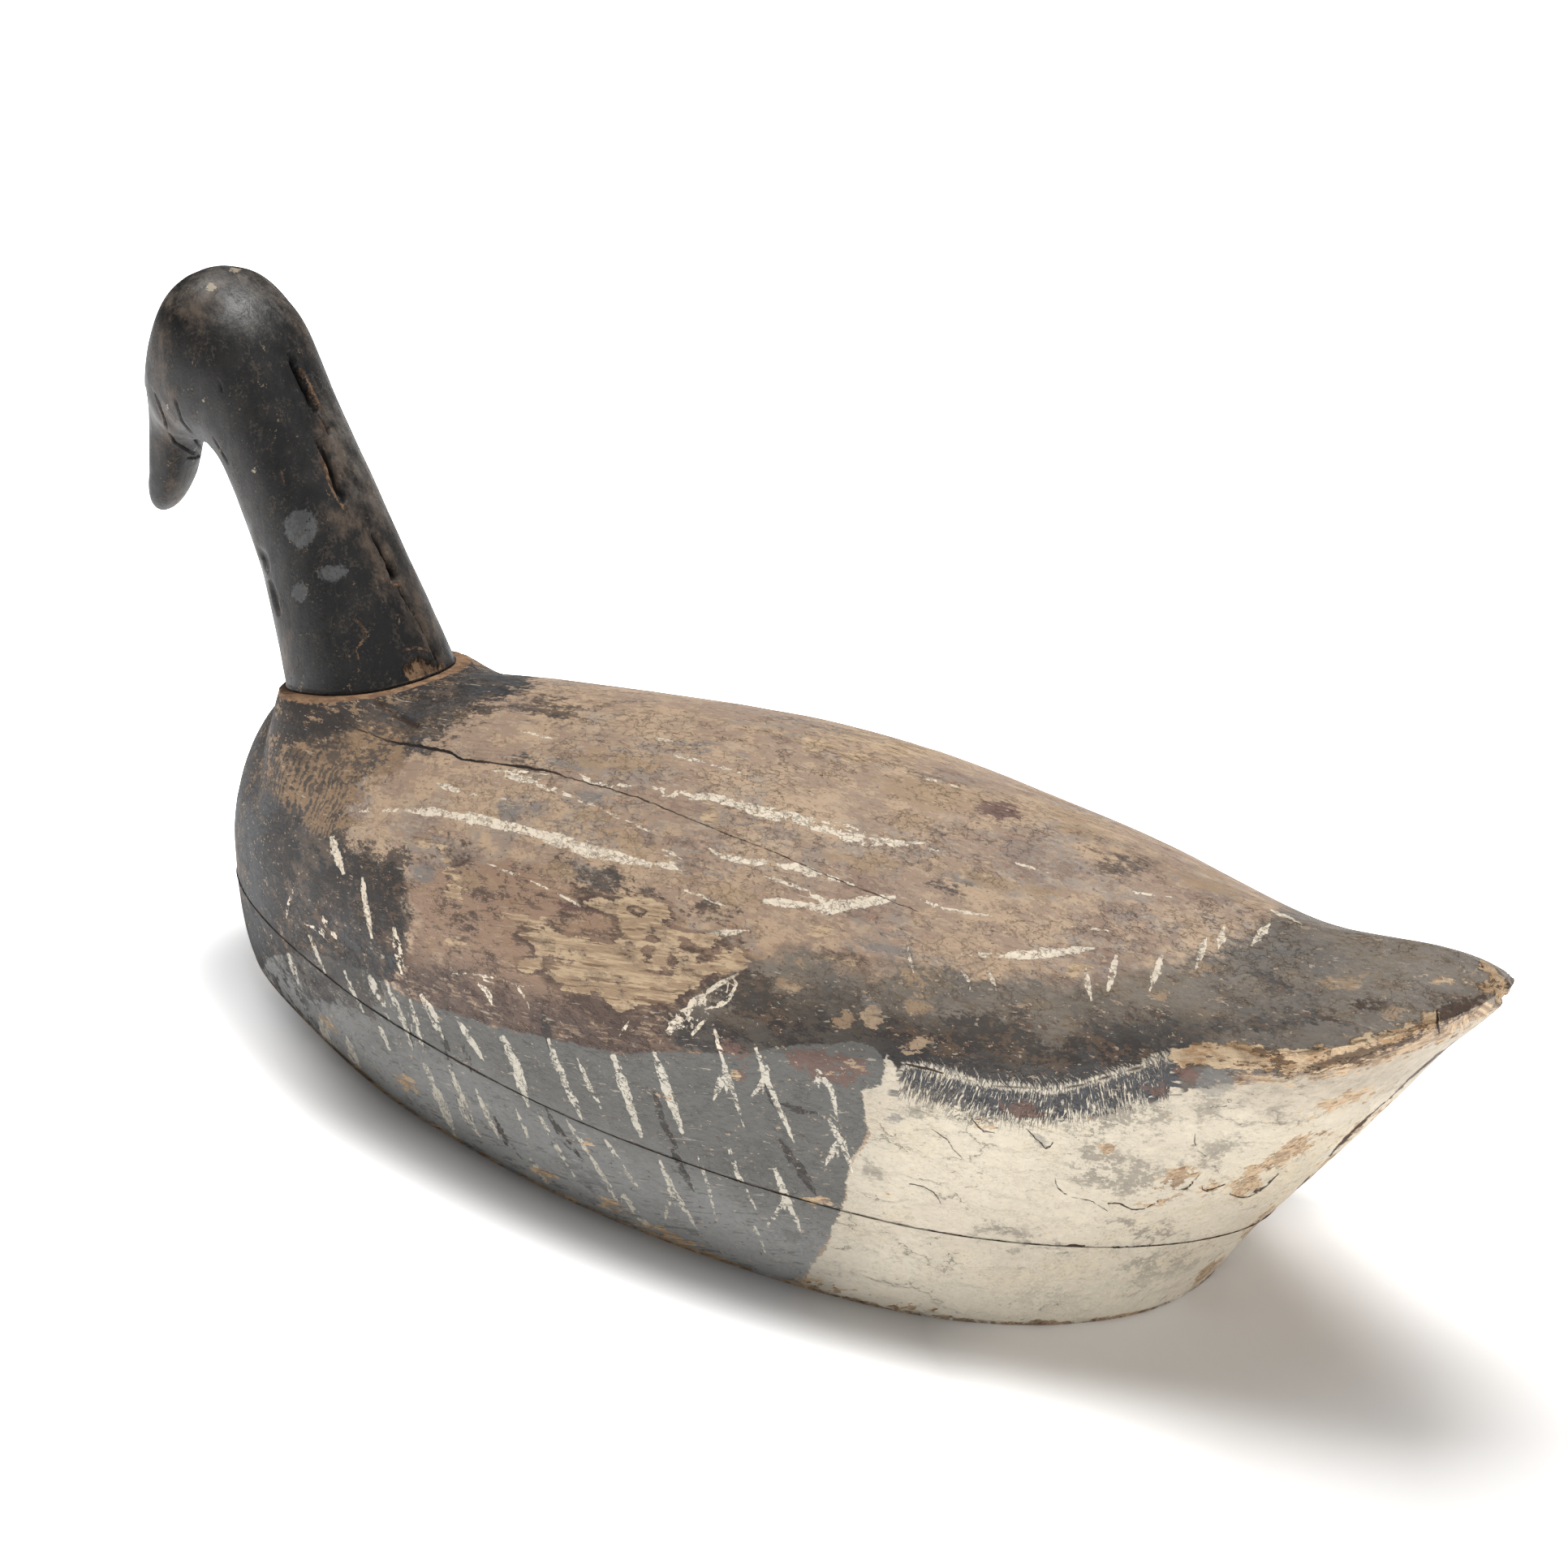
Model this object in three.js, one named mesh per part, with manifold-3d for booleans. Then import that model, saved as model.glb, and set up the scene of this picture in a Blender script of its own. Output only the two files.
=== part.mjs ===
// A carved wooden goose decoy in millimetres: an upper body block on a bottom board, and a head
// carved in one with its neck and bill, which stands on a sloping seat cut at the breast end.
// +Z is up, +X is the way the bird faces and +Y is its left side. It rests on the flat underside.
import * as THREE from "three";
import { mergeVertices } from "three/addons/utils/BufferGeometryUtils.js";
import Module from "manifold-3d";

// Driving sizes of the body
const bodyLength = 610;
const bodyWidth = 209;
const bodyHeight = 166;
const boardHeight = 39.3;
const tailTipHeight = 8;

// Driving sizes of the neck seat, the head and the joints
const seatTilt = THREE.MathUtils.degToRad(10);
const footDepth = 66.8;
const footWidth = 67.4;
const seatRim = 5;
const seatRimInFront = 1.5;
const collarReach = 26;
const collarReachInFront = 6;
const headRise = 155;
const headWidth = 65;
const jointGap = 0.3;

// Body lines at stations from the tail tip to the breast, evenly spaced by angle as on a circle.
// Half widths are shares of the body's width, heights are shares of its height, and the keel is
// the lowest point that each section would reach if the underside were not planed flat.
const bodyLines = {
  halfWidth: [0, 0.171, 0.265, 0.435, 0.501, 0.449, 0.325, 0.173, 0],
  widest: [0.944, 0.869, 0.733, 0.604, 0.502, 0.415, 0.389, 0.353, 0.11],
  ridge: [0.944, 0.992, 0.943, 0.981, 0.998, 0.924, 0.821, 0.671, 0.11],
  keel: [0.944, 0.748, 0.242, -0.461, -0.479, -0.395, -0.209, -0.124, 0.11],
};
// How full the section is: 1 is a straight chamfer, 2 an ellipse, more is squarer
const lowerFullness = [1.2, 2.61, 2.43];
const upperFullness = [0.97, 1.72, 1.79];

// The neck seat's middle, as shares of the body's length and height
const seatPlace = 0.882;
const seatLevel = 0.799;

// Head stations from the neck's foot round the crown to the bill, as shares of the head's rise
// above the seat: the outer line runs up the nape, over the crown and down the bill's back, and
// the inner line up the throat, round the chin and down the bill's underside. The first station
// is the neck's foot.
const headStations = [
  { outer: [0.001, 0.417], inner: [0.303, 0.225], width: 0.846 },
  { outer: [0.217, 0.737], inner: [0.405, 0.448], width: 0.831 },
  { outer: [0.33, 0.895], inner: [0.46, 0.519], width: 0.908 },
  { outer: [0.43, 0.967], inner: [0.503, 0.532], width: 0.985 },
  { outer: [0.515, 1], inner: [0.536, 0.535], width: 1 },
  { outer: [0.601, 0.973], inner: [0.56, 0.536], width: 0.954 },
  { outer: [0.683, 0.812], inner: [0.59, 0.525], width: 0.835 },
  { outer: [0.775, 0.592], inner: [0.657, 0.504], width: 0.47 },
  { outer: [0.809, 0.391], inner: [0.685, 0.431], width: 0.37 },
];
const billTip = [0.792, 0.27];
const headFullness = 2.3;

// Steps of the curves
const lengthSteps = 54;
const lowerSteps = 9;
const upperSteps = 10;
const headStepsPerStation = 4;
const headSides = 24;
const tipSteps = 4;

const seatX = seatPlace * bodyLength;
const seatZ = seatLevel * bodyHeight;
const rimDepth = (footDepth + seatRim + seatRimInFront) / 2;
const rimWidth = footWidth / 2 + seatRim;
const rimShift = (seatRimInFront - seatRim) / 2;
const seatPlane = (x) => seatZ - (x - seatX) * Math.tan(seatTilt);

// A smooth line through evenly spaced values, read at a share from 0 to 1
function through(values, share) {
  const last = values.length - 1;
  const place = THREE.MathUtils.clamp(share, 0, 1) * last;
  const index = Math.min(Math.floor(place), last - 1);
  const t = place - index;
  const from = values[index];
  const to = values[index + 1];
  const slopeFrom = (to - values[Math.max(index - 1, 0)]) / 2;
  const slopeTo = (values[Math.min(index + 2, last)] - from) / 2;
  const cubic = 2 * (from - to) + slopeFrom + slopeTo;
  const square = 3 * (to - from) - 2 * slopeFrom - slopeTo;
  return ((cubic * t + square) * t + slopeFrom) * t + from;
}

// The half width of a superellipse of half width 1 at a share of its height
const ovalAt = (share, fullness) => Math.max(0, 1 - share ** fullness) ** (1 / fullness);

// The sine or cosine of a full circle, filled out to that of the oval sections of head and seat
const filled = (value) => Math.sign(value) * Math.abs(value) ** (2 / headFullness);

// The body's surface is drawn up into a hollow-sided collar around the neck seat. Seen from above,
// the collar reaches further beside and behind the seat's rim than in front of it.
function withCollar([x, y, z]) {
  const along = (x - seatX) / (rimDepth * Math.cos(seatTilt)) - rimShift / rimDepth;
  const across = Math.abs(y) / rimWidth;
  const radius = (Math.abs(along) ** headFullness + across ** headFullness) ** (1 / headFullness);
  const outside = Math.max(0, radius - 1) * rimWidth;
  const forward = THREE.MathUtils.smoothstep(along, -0.2, 1);
  const reach = THREE.MathUtils.lerp(collarReach, collarReachInFront, forward);
  const pull = Math.max(0, 1 - outside / reach) ** 2;
  return [x, y, z + (seatPlane(x) - z) * pull];
}

// Half of the body's outline at one station, from the middle of the underside to the ridge
function halfSection(share) {
  const x = bodyLength * (1 - Math.cos(Math.PI * share)) / 2;
  const atTip = tailTipHeight / 2 * Math.max(0, 1 - share * (bodyLines.keel.length - 1));
  const halfWidth = through(bodyLines.halfWidth, share) * bodyWidth;
  const widest = through(bodyLines.widest, share) * bodyHeight;
  const ridge = through(bodyLines.ridge, share) * bodyHeight + atTip;
  const keel = through(bodyLines.keel, share) * bodyHeight - atTip;
  const lower = through(lowerFullness, share);
  const upper = through(upperFullness, share);
  const shown = keel < widest ? Math.min(1, widest / (widest - keel)) : 0;
  const points = [[x, 0, Math.max(keel, 0)]];
  for (let step = lowerSteps; step >= 0; step--) {
    const drop = shown * Math.sin((step / lowerSteps) * Math.PI / 2);
    points.push([x, halfWidth * ovalAt(drop, lower), widest - (widest - keel) * drop]);
  }
  for (let step = 1; step <= upperSteps; step++) {
    const rise = Math.sin((step / upperSteps) * Math.PI / 2);
    points.push(withCollar([x, halfWidth * ovalAt(rise, upper), widest + (ridge - widest) * rise]));
  }
  return points;
}

// A closed geometry from rows of points: each row joins the next, and the faces with two corners
// in one place drop out
function skin(rows, faces) {
  const geometry = new THREE.BufferGeometry();
  geometry.setAttribute("position", new THREE.Float32BufferAttribute(rows.flat(2), 3));
  geometry.setIndex(faces);
  return closed(geometry);
}

function closed(geometry) {
  geometry.deleteAttribute("normal");
  geometry.deleteAttribute("uv");
  const merged = mergeVertices(geometry, 1e-3);
  const index = merged.index.array;
  const kept = [];
  for (let i = 0; i < index.length; i += 3) {
    const [a, b, c] = index.slice(i, i + 3);
    if (a !== b && b !== c && c !== a) kept.push(a, b, c);
  }
  merged.setIndex(kept);
  return merged;
}

// The two faces of the cell between point k and k + 1 of row r and row r + 1
function cell(r, k, next, perRow) {
  const a = r * perRow + k;
  const b = r * perRow + next;
  return [a, b, b + perRow, a, b + perRow, a + perRow];
}

// The whole body: the left half's sections, mirrored for the right half
function bodyForm() {
  const rows = [];
  const faces = [];
  for (let row = 0; row <= lengthSteps; row++) {
    const left = halfSection(row / lengthSteps);
    const right = left.slice(1, -1).reverse().map(([x, y, z]) => [x, -y, z]);
    rows.push([...left, ...right]);
  }
  const perRow = rows[0].length;
  for (let row = 0; row < lengthSteps; row++) {
    for (let k = 0; k < perRow; k++) faces.push(...cell(row, k, (k + 1) % perRow, perRow));
  }
  return skin(rows, faces);
}

// The neck, head and bill: oval sections between the outer and the inner line, closed by a flat
// foot on the seat and by a rounded bill tip
function headForm() {
  const foot = footDepth / 2;
  const lift = jointGap / Math.cos(seatTilt);
  const place = ([forward, up]) => [seatX + forward * headRise, seatZ + up * headRise];
  const footEnd = (side) => [
    seatX + side * foot * Math.cos(seatTilt),
    seatZ - side * foot * Math.sin(seatTilt) + lift,
  ];
  const stations = [
    { outer: footEnd(-1), inner: footEnd(1), half: footWidth / 2 },
    ...headStations.map(({ outer, inner, width }) => (
      { outer: place(outer), inner: place(inner), half: width * headWidth / 2 }
    )),
  ];
  const line = (pick, share) => through(stations.map(pick), share);
  const sections = [];
  const steps = (stations.length - 1) * headStepsPerStation;
  for (let step = 0; step <= steps; step++) {
    const share = step / steps;
    const outer = [line((s) => s.outer[0], share), line((s) => s.outer[1], share)];
    const inner = [line((s) => s.inner[0], share), line((s) => s.inner[1], share)];
    sections.push({
      middle: outer.map((value, i) => (value + inner[i]) / 2),
      reach: outer.map((value, i) => (value - inner[i]) / 2),
      half: line((s) => s.half, share),
    });
  }
  const end = sections[sections.length - 1];
  const tip = place(billTip);
  for (let step = 1; step <= tipSteps; step++) {
    const angle = (step / tipSteps) * Math.PI / 2;
    sections.push({
      middle: end.middle.map((value, i) => value + (tip[i] - value) * Math.sin(angle)),
      reach: end.reach.map((value) => value * Math.cos(angle)),
      half: end.half * Math.cos(angle),
    });
  }
  const rows = sections.map(ovalRow);
  const faces = [];
  for (let row = 0; row < rows.length - 1; row++) {
    for (let k = 0; k < headSides; k++) {
      faces.push(...cell(row, k, (k + 1) % headSides, headSides));
    }
  }
  for (let k = 1; k < headSides - 1; k++) faces.push(0, k + 1, k);
  return skin(rows, faces);
}

// One oval section of the head, in a plane that holds the Y direction
function ovalRow({ middle, reach, half }) {
  const row = [];
  for (let k = 0; k < headSides; k++) {
    const angle = -(k / headSides) * 2 * Math.PI;
    const out = filled(Math.cos(angle));
    const side = filled(Math.sin(angle));
    row.push([middle[0] + reach[0] * out, half * side, middle[1] + reach[1] * out]);
  }
  return row;
}

// A block with the outline of the rim, standing on the seat's plane
function seatBlock(from, to) {
  const outline = new THREE.Shape();
  for (let k = 0; k < 2 * headSides; k++) {
    const angle = (k / headSides) * Math.PI;
    const x = rimShift + rimDepth * filled(Math.cos(angle));
    const y = rimWidth * filled(Math.sin(angle));
    if (k === 0) outline.moveTo(x, y);
    else outline.lineTo(x, y);
  }
  const block = new THREE.ExtrudeGeometry(outline, { depth: to - from, bevelEnabled: false });
  block.translate(0, 0, from);
  block.rotateY(seatTilt);
  block.translate(seatX, 0, seatZ);
  return closed(block);
}

function slab(from, to) {
  const block = new THREE.BoxGeometry(bodyLength * 2, bodyWidth * 2, to - from);
  block.translate(bodyLength / 2, 0, (from + to) / 2);
  return closed(block);
}

const wasm = await Module();
wasm.setup();

function solid(geometry) {
  const vertProperties = new Float32Array(geometry.attributes.position.array);
  const triVerts = new Uint32Array(geometry.index.array);
  return new wasm.Manifold(new wasm.Mesh({ numProp: 3, vertProperties, triVerts }));
}

function geometryOf(manifold) {
  const mesh = manifold.getMesh();
  const geometry = new THREE.BufferGeometry();
  geometry.setAttribute("position", new THREE.BufferAttribute(mesh.vertProperties, 3));
  geometry.setIndex(new THREE.BufferAttribute(mesh.triVerts, 1));
  return geometry;
}

// The bottom board and the upper block are one carved form, parted by the glue line
const form = solid(bodyForm());
const bottomBoard = form.intersect(solid(slab(-1, boardHeight - jointGap / 2)));
const upperBlock = form
  .intersect(solid(slab(boardHeight + jointGap / 2, bodyHeight * 2)))
  .add(solid(seatBlock(-seatRim, 0)))
  .subtract(solid(seatBlock(0, headRise)));

const painted = (color, roughness) => new THREE.MeshStandardMaterial({ color, roughness, metalness: 0 });
const pieces = [
  ["body_upper", geometryOf(upperBlock), painted(0x8a7459, 0.8)],
  ["body_lower", geometryOf(bottomBoard), painted(0x8b8c8a, 0.8)],
  ["head_neck", headForm(), painted(0x35343a, 0.6)],
];

const decoy = new THREE.Group();
for (const [name, geometry, material] of pieces) {
  const mesh = new THREE.Mesh(geometry, material);
  mesh.name = name;
  decoy.add(mesh);
}

// The origin lies on the ground under the middle of the whole decoy
const box = new THREE.Box3().setFromObject(decoy);
decoy.position.x = -(box.min.x + box.max.x) / 2;

export default decoy;
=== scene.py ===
"""A carved and painted wooden goose decoy: body block, bottom board and head, as dense meshes.

The three wooden pieces are surfaces of two parameters, the same as the solids in the frame, with
the wear of the wood worked into them. The paint is a stack of procedural layers. Where a border,
a brush stroke or a crack lies is given by its place in the photograph, in pixels of a picture
1932 wide and high, and read at each vertex through the camera that the scene is seen by.
"""

import bpy
import numpy as np
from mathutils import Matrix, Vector


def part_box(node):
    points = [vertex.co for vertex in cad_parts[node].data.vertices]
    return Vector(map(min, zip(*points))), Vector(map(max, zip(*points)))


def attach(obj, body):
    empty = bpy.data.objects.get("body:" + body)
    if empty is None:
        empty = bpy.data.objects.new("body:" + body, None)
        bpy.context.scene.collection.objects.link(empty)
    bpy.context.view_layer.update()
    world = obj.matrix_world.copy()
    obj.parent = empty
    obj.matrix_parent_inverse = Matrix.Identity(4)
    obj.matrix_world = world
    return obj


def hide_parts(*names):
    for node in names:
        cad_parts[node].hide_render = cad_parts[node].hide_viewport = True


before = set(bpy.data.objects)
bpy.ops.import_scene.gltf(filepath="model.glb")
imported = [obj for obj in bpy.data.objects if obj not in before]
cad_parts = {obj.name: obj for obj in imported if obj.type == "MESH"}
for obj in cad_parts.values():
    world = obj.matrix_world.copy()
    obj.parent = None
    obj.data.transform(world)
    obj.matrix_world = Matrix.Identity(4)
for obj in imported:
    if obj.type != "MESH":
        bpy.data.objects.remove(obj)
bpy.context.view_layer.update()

MM = 0.001

# Points nearer than the first are one point, and points nearer a flat face than the second lie on
# it. The third, in metres, only keeps a division or a rise from being by nothing
WELD = 0.01 * MM
ON_FACE = 0.02 * MM
TINY = 1e-9

# Driving sizes of the carved body, the neck seat and the head
BODY_LENGTH = 610 * MM
BODY_WIDTH = 209 * MM
BODY_HEIGHT = 166 * MM
BOARD_HEIGHT = 39.3 * MM
TAIL_TIP_HEIGHT = 8 * MM
SEAT_TILT = np.radians(10)
FOOT_DEPTH = 66.8 * MM
FOOT_WIDTH = 67.4 * MM
SEAT_RIM = 5 * MM
SEAT_RIM_IN_FRONT = 1.5 * MM
COLLAR_REACH = 26 * MM
COLLAR_REACH_IN_FRONT = 6 * MM
HEAD_RISE = 155 * MM
HEAD_WIDTH = 65 * MM
JOINT_GAP = 0.3 * MM

# Body lines at stations from the tail tip to the breast, evenly spaced by angle as on a circle:
# half widths as shares of the width, heights as shares of the height
HALF_WIDTH = (0, 0.171, 0.265, 0.435, 0.501, 0.449, 0.325, 0.173, 0)
WIDEST = (0.944, 0.869, 0.733, 0.604, 0.502, 0.415, 0.389, 0.353, 0.11)
RIDGE = (0.944, 0.992, 0.943, 0.981, 0.998, 0.924, 0.821, 0.671, 0.11)
KEEL = (0.944, 0.748, 0.242, -0.461, -0.479, -0.395, -0.209, -0.124, 0.11)
LOWER_FULLNESS = (1.2, 2.61, 2.43)
UPPER_FULLNESS = (0.97, 1.72, 1.79)

# Head stations as shares of the head's rise above the seat: outer line, inner line, and the half
# width as a share of half the head's width
HEAD_OUTER = ((0.001, 0.417), (0.217, 0.737), (0.33, 0.895), (0.43, 0.967), (0.515, 1),
              (0.601, 0.973), (0.683, 0.812), (0.775, 0.592), (0.809, 0.391))
HEAD_INNER = ((0.303, 0.225), (0.405, 0.448), (0.46, 0.519), (0.503, 0.532), (0.536, 0.535),
              (0.56, 0.536), (0.59, 0.525), (0.657, 0.504), (0.685, 0.431))
HEAD_HALF = (0.846, 0.831, 0.908, 0.985, 1, 0.954, 0.835, 0.47, 0.37)
BILL_TIP = (0.792, 0.27)
HEAD_FULLNESS = 2.3

TAIL_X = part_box("body_upper")[0].x
SEAT_X = TAIL_X + 0.882 * BODY_LENGTH
SEAT_Z = 0.799 * BODY_HEIGHT
RIM_DEPTH = (FOOT_DEPTH + SEAT_RIM + SEAT_RIM_IN_FRONT) / 2
RIM_WIDTH = FOOT_WIDTH / 2 + SEAT_RIM
RIM_SHIFT = (SEAT_RIM_IN_FRONT - SEAT_RIM) / 2

# The camera that the photograph was taken with, in the decoy's frame
AIM = Vector((-45.5, 29.456, 160.361)) * MM
CAMERA_AZIMUTH = np.radians(131.377)
CAMERA_ELEVATION = np.radians(22.313)
CAMERA_DISTANCE = 1493.25 * MM
PHOTO_SIZE = 1932
FOCAL_PIXELS = 5060.0
SENSOR_WIDTH = 36.0

toward_camera = Vector((
    np.cos(CAMERA_ELEVATION) * np.cos(CAMERA_AZIMUTH),
    np.cos(CAMERA_ELEVATION) * np.sin(CAMERA_AZIMUTH),
    np.sin(CAMERA_ELEVATION),
))
camera_place = AIM + toward_camera * CAMERA_DISTANCE
camera_right = Vector((0, 0, 1)).cross(toward_camera).normalized()
camera_up = toward_camera.cross(camera_right)


def photo_place(points):
    """The pixel of the photograph where a point is seen, and the size of a pixel there: the
    offset from the camera along its right and up, times the focal length, over the depth."""
    offset = points - np.array(camera_place)
    depth = -offset @ np.array(toward_camera)
    across = offset @ np.array(camera_right) * FOCAL_PIXELS / depth
    above = offset @ np.array(camera_up) * FOCAL_PIXELS / depth
    middle = PHOTO_SIZE / 2
    return np.stack([middle + across, middle - above], -1), depth / FOCAL_PIXELS


def smooth_step(value, start, end):
    """0 before start, 1 after end, and 3t^2 - 2t^3 of the share t between them."""
    t = np.clip((value - start) / (end - start), 0, 1)
    return t * t * (3 - 2 * t)


def noise(points, size, seed):
    """Smooth noise from -1 to 1: a random value at each corner of a grid of cubes of that size,
    blended over each cube by smooth shares. The large numbers only scramble the corner's place."""
    place = points / size
    corner = np.floor(place).astype(np.int64)
    share = smooth_step(place - corner, 0, 1)
    total = np.zeros(len(points))
    for step in np.ndindex(2, 2, 2):
        key = corner + step
        mixed = (key[:, 0] * 73856093) ^ (key[:, 1] * 19349663) ^ (key[:, 2] * 83492791)
        mixed = (mixed ^ (seed * 2654435761)) & 0x7FFFFFFF
        mixed = ((mixed ^ (mixed >> 13)) * 1274126177) & 0x7FFFFFFF
        value = ((mixed ^ (mixed >> 15)) & 0xFFFF) / 32767.5 - 1
        total += value * np.prod(np.where(step, share, 1 - share), axis=1)
    return total


def through(values, share):
    """A smooth line through evenly spaced values, read at shares from 0 to 1: on each span the
    cubic whose slope at each end is half the difference of the values on either side."""
    values = np.asarray(values, float)
    last = len(values) - 1
    place = np.clip(share, 0, 1) * last
    index = np.minimum(place.astype(int), last - 1)
    t = place - index
    start = values[index]
    end = values[index + 1]
    slope_start = (end - values[np.maximum(index - 1, 0)]) / 2
    slope_end = (values[np.minimum(index + 2, last)] - start) / 2
    cubic = 2 * (start - end) + slope_start + slope_end
    square = 3 * (end - start) - 2 * slope_start - slope_end
    return ((cubic * t + square) * t + slope_start) * t + start


def body_lines(share):
    """Half width and the heights of the widest line, the ridge and the keel at a share."""
    at_tip = TAIL_TIP_HEIGHT / 2 * np.clip(1 - share * (len(KEEL) - 1), 0, None)
    half = through(HALF_WIDTH, share) * BODY_WIDTH
    widest = through(WIDEST, share) * BODY_HEIGHT
    ridge = through(RIDGE, share) * BODY_HEIGHT + at_tip
    keel = through(KEEL, share) * BODY_HEIGHT - at_tip
    return half, widest, ridge, keel


def seat_radius(x, y):
    """Distance outside the rim of the neck seat, less than zero inside, by the superellipse
    radius about the rim's middle, and the place from the rim's back, -1, to its front, 1."""
    along = (x - SEAT_X) / (RIM_DEPTH * np.cos(SEAT_TILT)) - RIM_SHIFT / RIM_DEPTH
    across = np.abs(y) / RIM_WIDTH
    radius = (np.abs(along) ** HEAD_FULLNESS + across ** HEAD_FULLNESS) ** (1 / HEAD_FULLNESS)
    return (radius - 1) * RIM_WIDTH, along


def body_point(share, level):
    """A point of the carved body's left half. The share runs from tail tip to breast by the
    cosine. The level runs from -1 at the keel through 0 at the widest line to 1 at the ridge: the
    height goes straight from line to line, and the half width is a superellipse's at that share
    of the height. The underside is planed flat at zero, and above the widest line the surface is
    drawn up to the sloping neck seat by the square of the share of the collar's reach left."""
    share, level = np.broadcast_arrays(share, level)
    half, widest, ridge, keel = body_lines(share)
    above = level > 0
    fullness = np.where(above, through(UPPER_FULLNESS, share), through(LOWER_FULLNESS, share))
    reach = np.abs(level)
    x = TAIL_X + BODY_LENGTH * (1 - np.cos(np.pi * share)) / 2
    y = half * np.clip(1 - reach ** fullness, 0, None) ** (1 / fullness)
    z = widest + np.where(above, ridge - widest, widest - keel) * level
    outside, along = seat_radius(x, y)
    forward = smooth_step(along, -0.2, 1)
    collar = COLLAR_REACH + (COLLAR_REACH_IN_FRONT - COLLAR_REACH) * forward
    pull = np.clip(1 - np.clip(outside, 0, None) / collar, 0, 1) ** 2 * above
    seat = SEAT_Z - (x - SEAT_X) * np.tan(SEAT_TILT)
    return np.stack([x, y, np.clip(z + (seat - z) * pull, 0, None)], -1)


def level_at(share, height):
    """The level at which the body's surface has that height, from -1 to 1."""
    _, widest, ridge, keel = body_lines(share)
    over = (height - widest) / np.maximum(ridge - widest, TINY)
    under = (height - widest) / np.maximum(widest - keel, TINY)
    return np.clip(np.where(height > widest, over, under), -1, 1)


def read_rows(targets, places, values):
    """Each row's values at its targets, by straight lines between its rising places."""
    shift = 2.0 * np.arange(len(places))[:, None]
    read = np.interp((targets + shift).ravel(), (places + shift).ravel(), values.ravel())
    return read.reshape(targets.shape)


def even_levels(share, low, high, count, fine_start=False, fine_end=False):
    """Levels from low to high, row by row, at even distances along the section's outline, with
    two more at 0.3 and 0.8 mm from an end that is to be fine. The outline is measured on a close
    row of levels that gather at both ends by the cosine. A tiny rise along it keeps a row of no
    length in order."""
    dense = low[:, None] + (high - low)[:, None] * (1 - np.cos(np.linspace(0, np.pi, 241))) / 2
    points = body_point(share[:, None], dense)
    steps = np.linalg.norm(np.diff(points, axis=1), axis=2)
    length = np.concatenate([np.zeros((len(share), 1)), np.cumsum(steps, axis=1)], 1)
    length += np.linspace(0, TINY, dense.shape[1])
    whole = length[:, -1:]
    targets = np.broadcast_to(np.linspace(0, 1, count), (len(share), count))
    near = np.minimum(np.array([[0.3, 0.8]]) * MM / whole, [[0.2, 0.4]] / np.array(count - 1.0))
    if fine_start:
        targets = np.concatenate([targets[:, :1], near, targets[:, 1:]], 1)
    if fine_end:
        targets = np.concatenate([targets[:, :-1], 1 - near[:, ::-1], targets[:, -1:]], 1)
    return read_rows(targets, length / whole, dense)


def even_shares(count, start, end):
    """Shares from start to end at even distances along the body, measured each step on the line
    of the ridge, the widest line or the glue line, whichever goes furthest."""
    dense = np.linspace(start, end, 2001)
    steps = [np.linalg.norm(np.diff(body_point(dense, level), axis=0), axis=1)
             for level in (np.zeros(2001), np.full(2001, 0.8), level_at(dense, BOARD_HEIGHT))]
    length = np.concatenate([[0], np.cumsum(np.max(steps, axis=0))])
    return np.interp(np.linspace(0, length[-1], count), length, dense)


def height_share(line, height, start, end):
    """The share between start and end where a line of the body passes a height."""
    dense = np.linspace(start, end, 4001)
    gap = line(dense) - height
    return np.interp(0, gap[::-1], dense[::-1]) if gap[0] > gap[-1] else np.interp(0, gap, dense)


def welded(rows):
    """Vertices, faces and first grid places of rows of points that close on themselves: points in
    one place are joined, and a face that is left with three corners is a triangle."""
    count, around, _ = rows.shape
    flat = rows.reshape(-1, 3)
    _, first, joined = np.unique(np.round(flat / WELD).astype(np.int64), axis=0,
                                 return_index=True, return_inverse=True)
    joined = joined.reshape(count, around)
    here = joined[:-1]
    ahead = joined[1:]
    faces = np.stack([here, np.roll(here, -1, 1), np.roll(ahead, -1, 1), ahead], -1).reshape(-1, 4)
    same = faces == np.roll(faces, -1, 1)
    quads = faces[~same.any(1)]
    folded = faces[(same.sum(1) == 1)]
    corners = folded[~(folded == np.roll(folded, -1, 1))].reshape(-1, 3)
    keep = (quads[:, 0] != quads[:, 2]) & (quads[:, 1] != quads[:, 3])
    return flat[first], [*quads[keep].tolist(), *corners.tolist()], first


def vertex_normals(points, faces):
    """Outward normals: each face's normal, as long as its area, summed at its corners."""
    four = np.array([face if len(face) == 4 else [*face, face[2]] for face in faces])
    cross = np.cross(points[four[:, 2]] - points[four[:, 0]], points[four[:, 3]] - points[four[:, 1]])
    thin = np.array([len(face) == 3 for face in faces])
    edge = np.cross(points[four[:, 1]] - points[four[:, 0]], points[four[:, 2]] - points[four[:, 0]])
    cross = np.where(thin[:, None], edge, cross)
    normal = np.zeros_like(points)
    for k in range(4):
        use = ~thin if k == 3 else np.ones(len(four), bool)
        for axis in range(3):
            normal[:, axis] += np.bincount(four[use, k], cross[use, axis], len(points))
    return normal / np.maximum(np.linalg.norm(normal, axis=1, keepdims=True), 1e-15)


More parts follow.
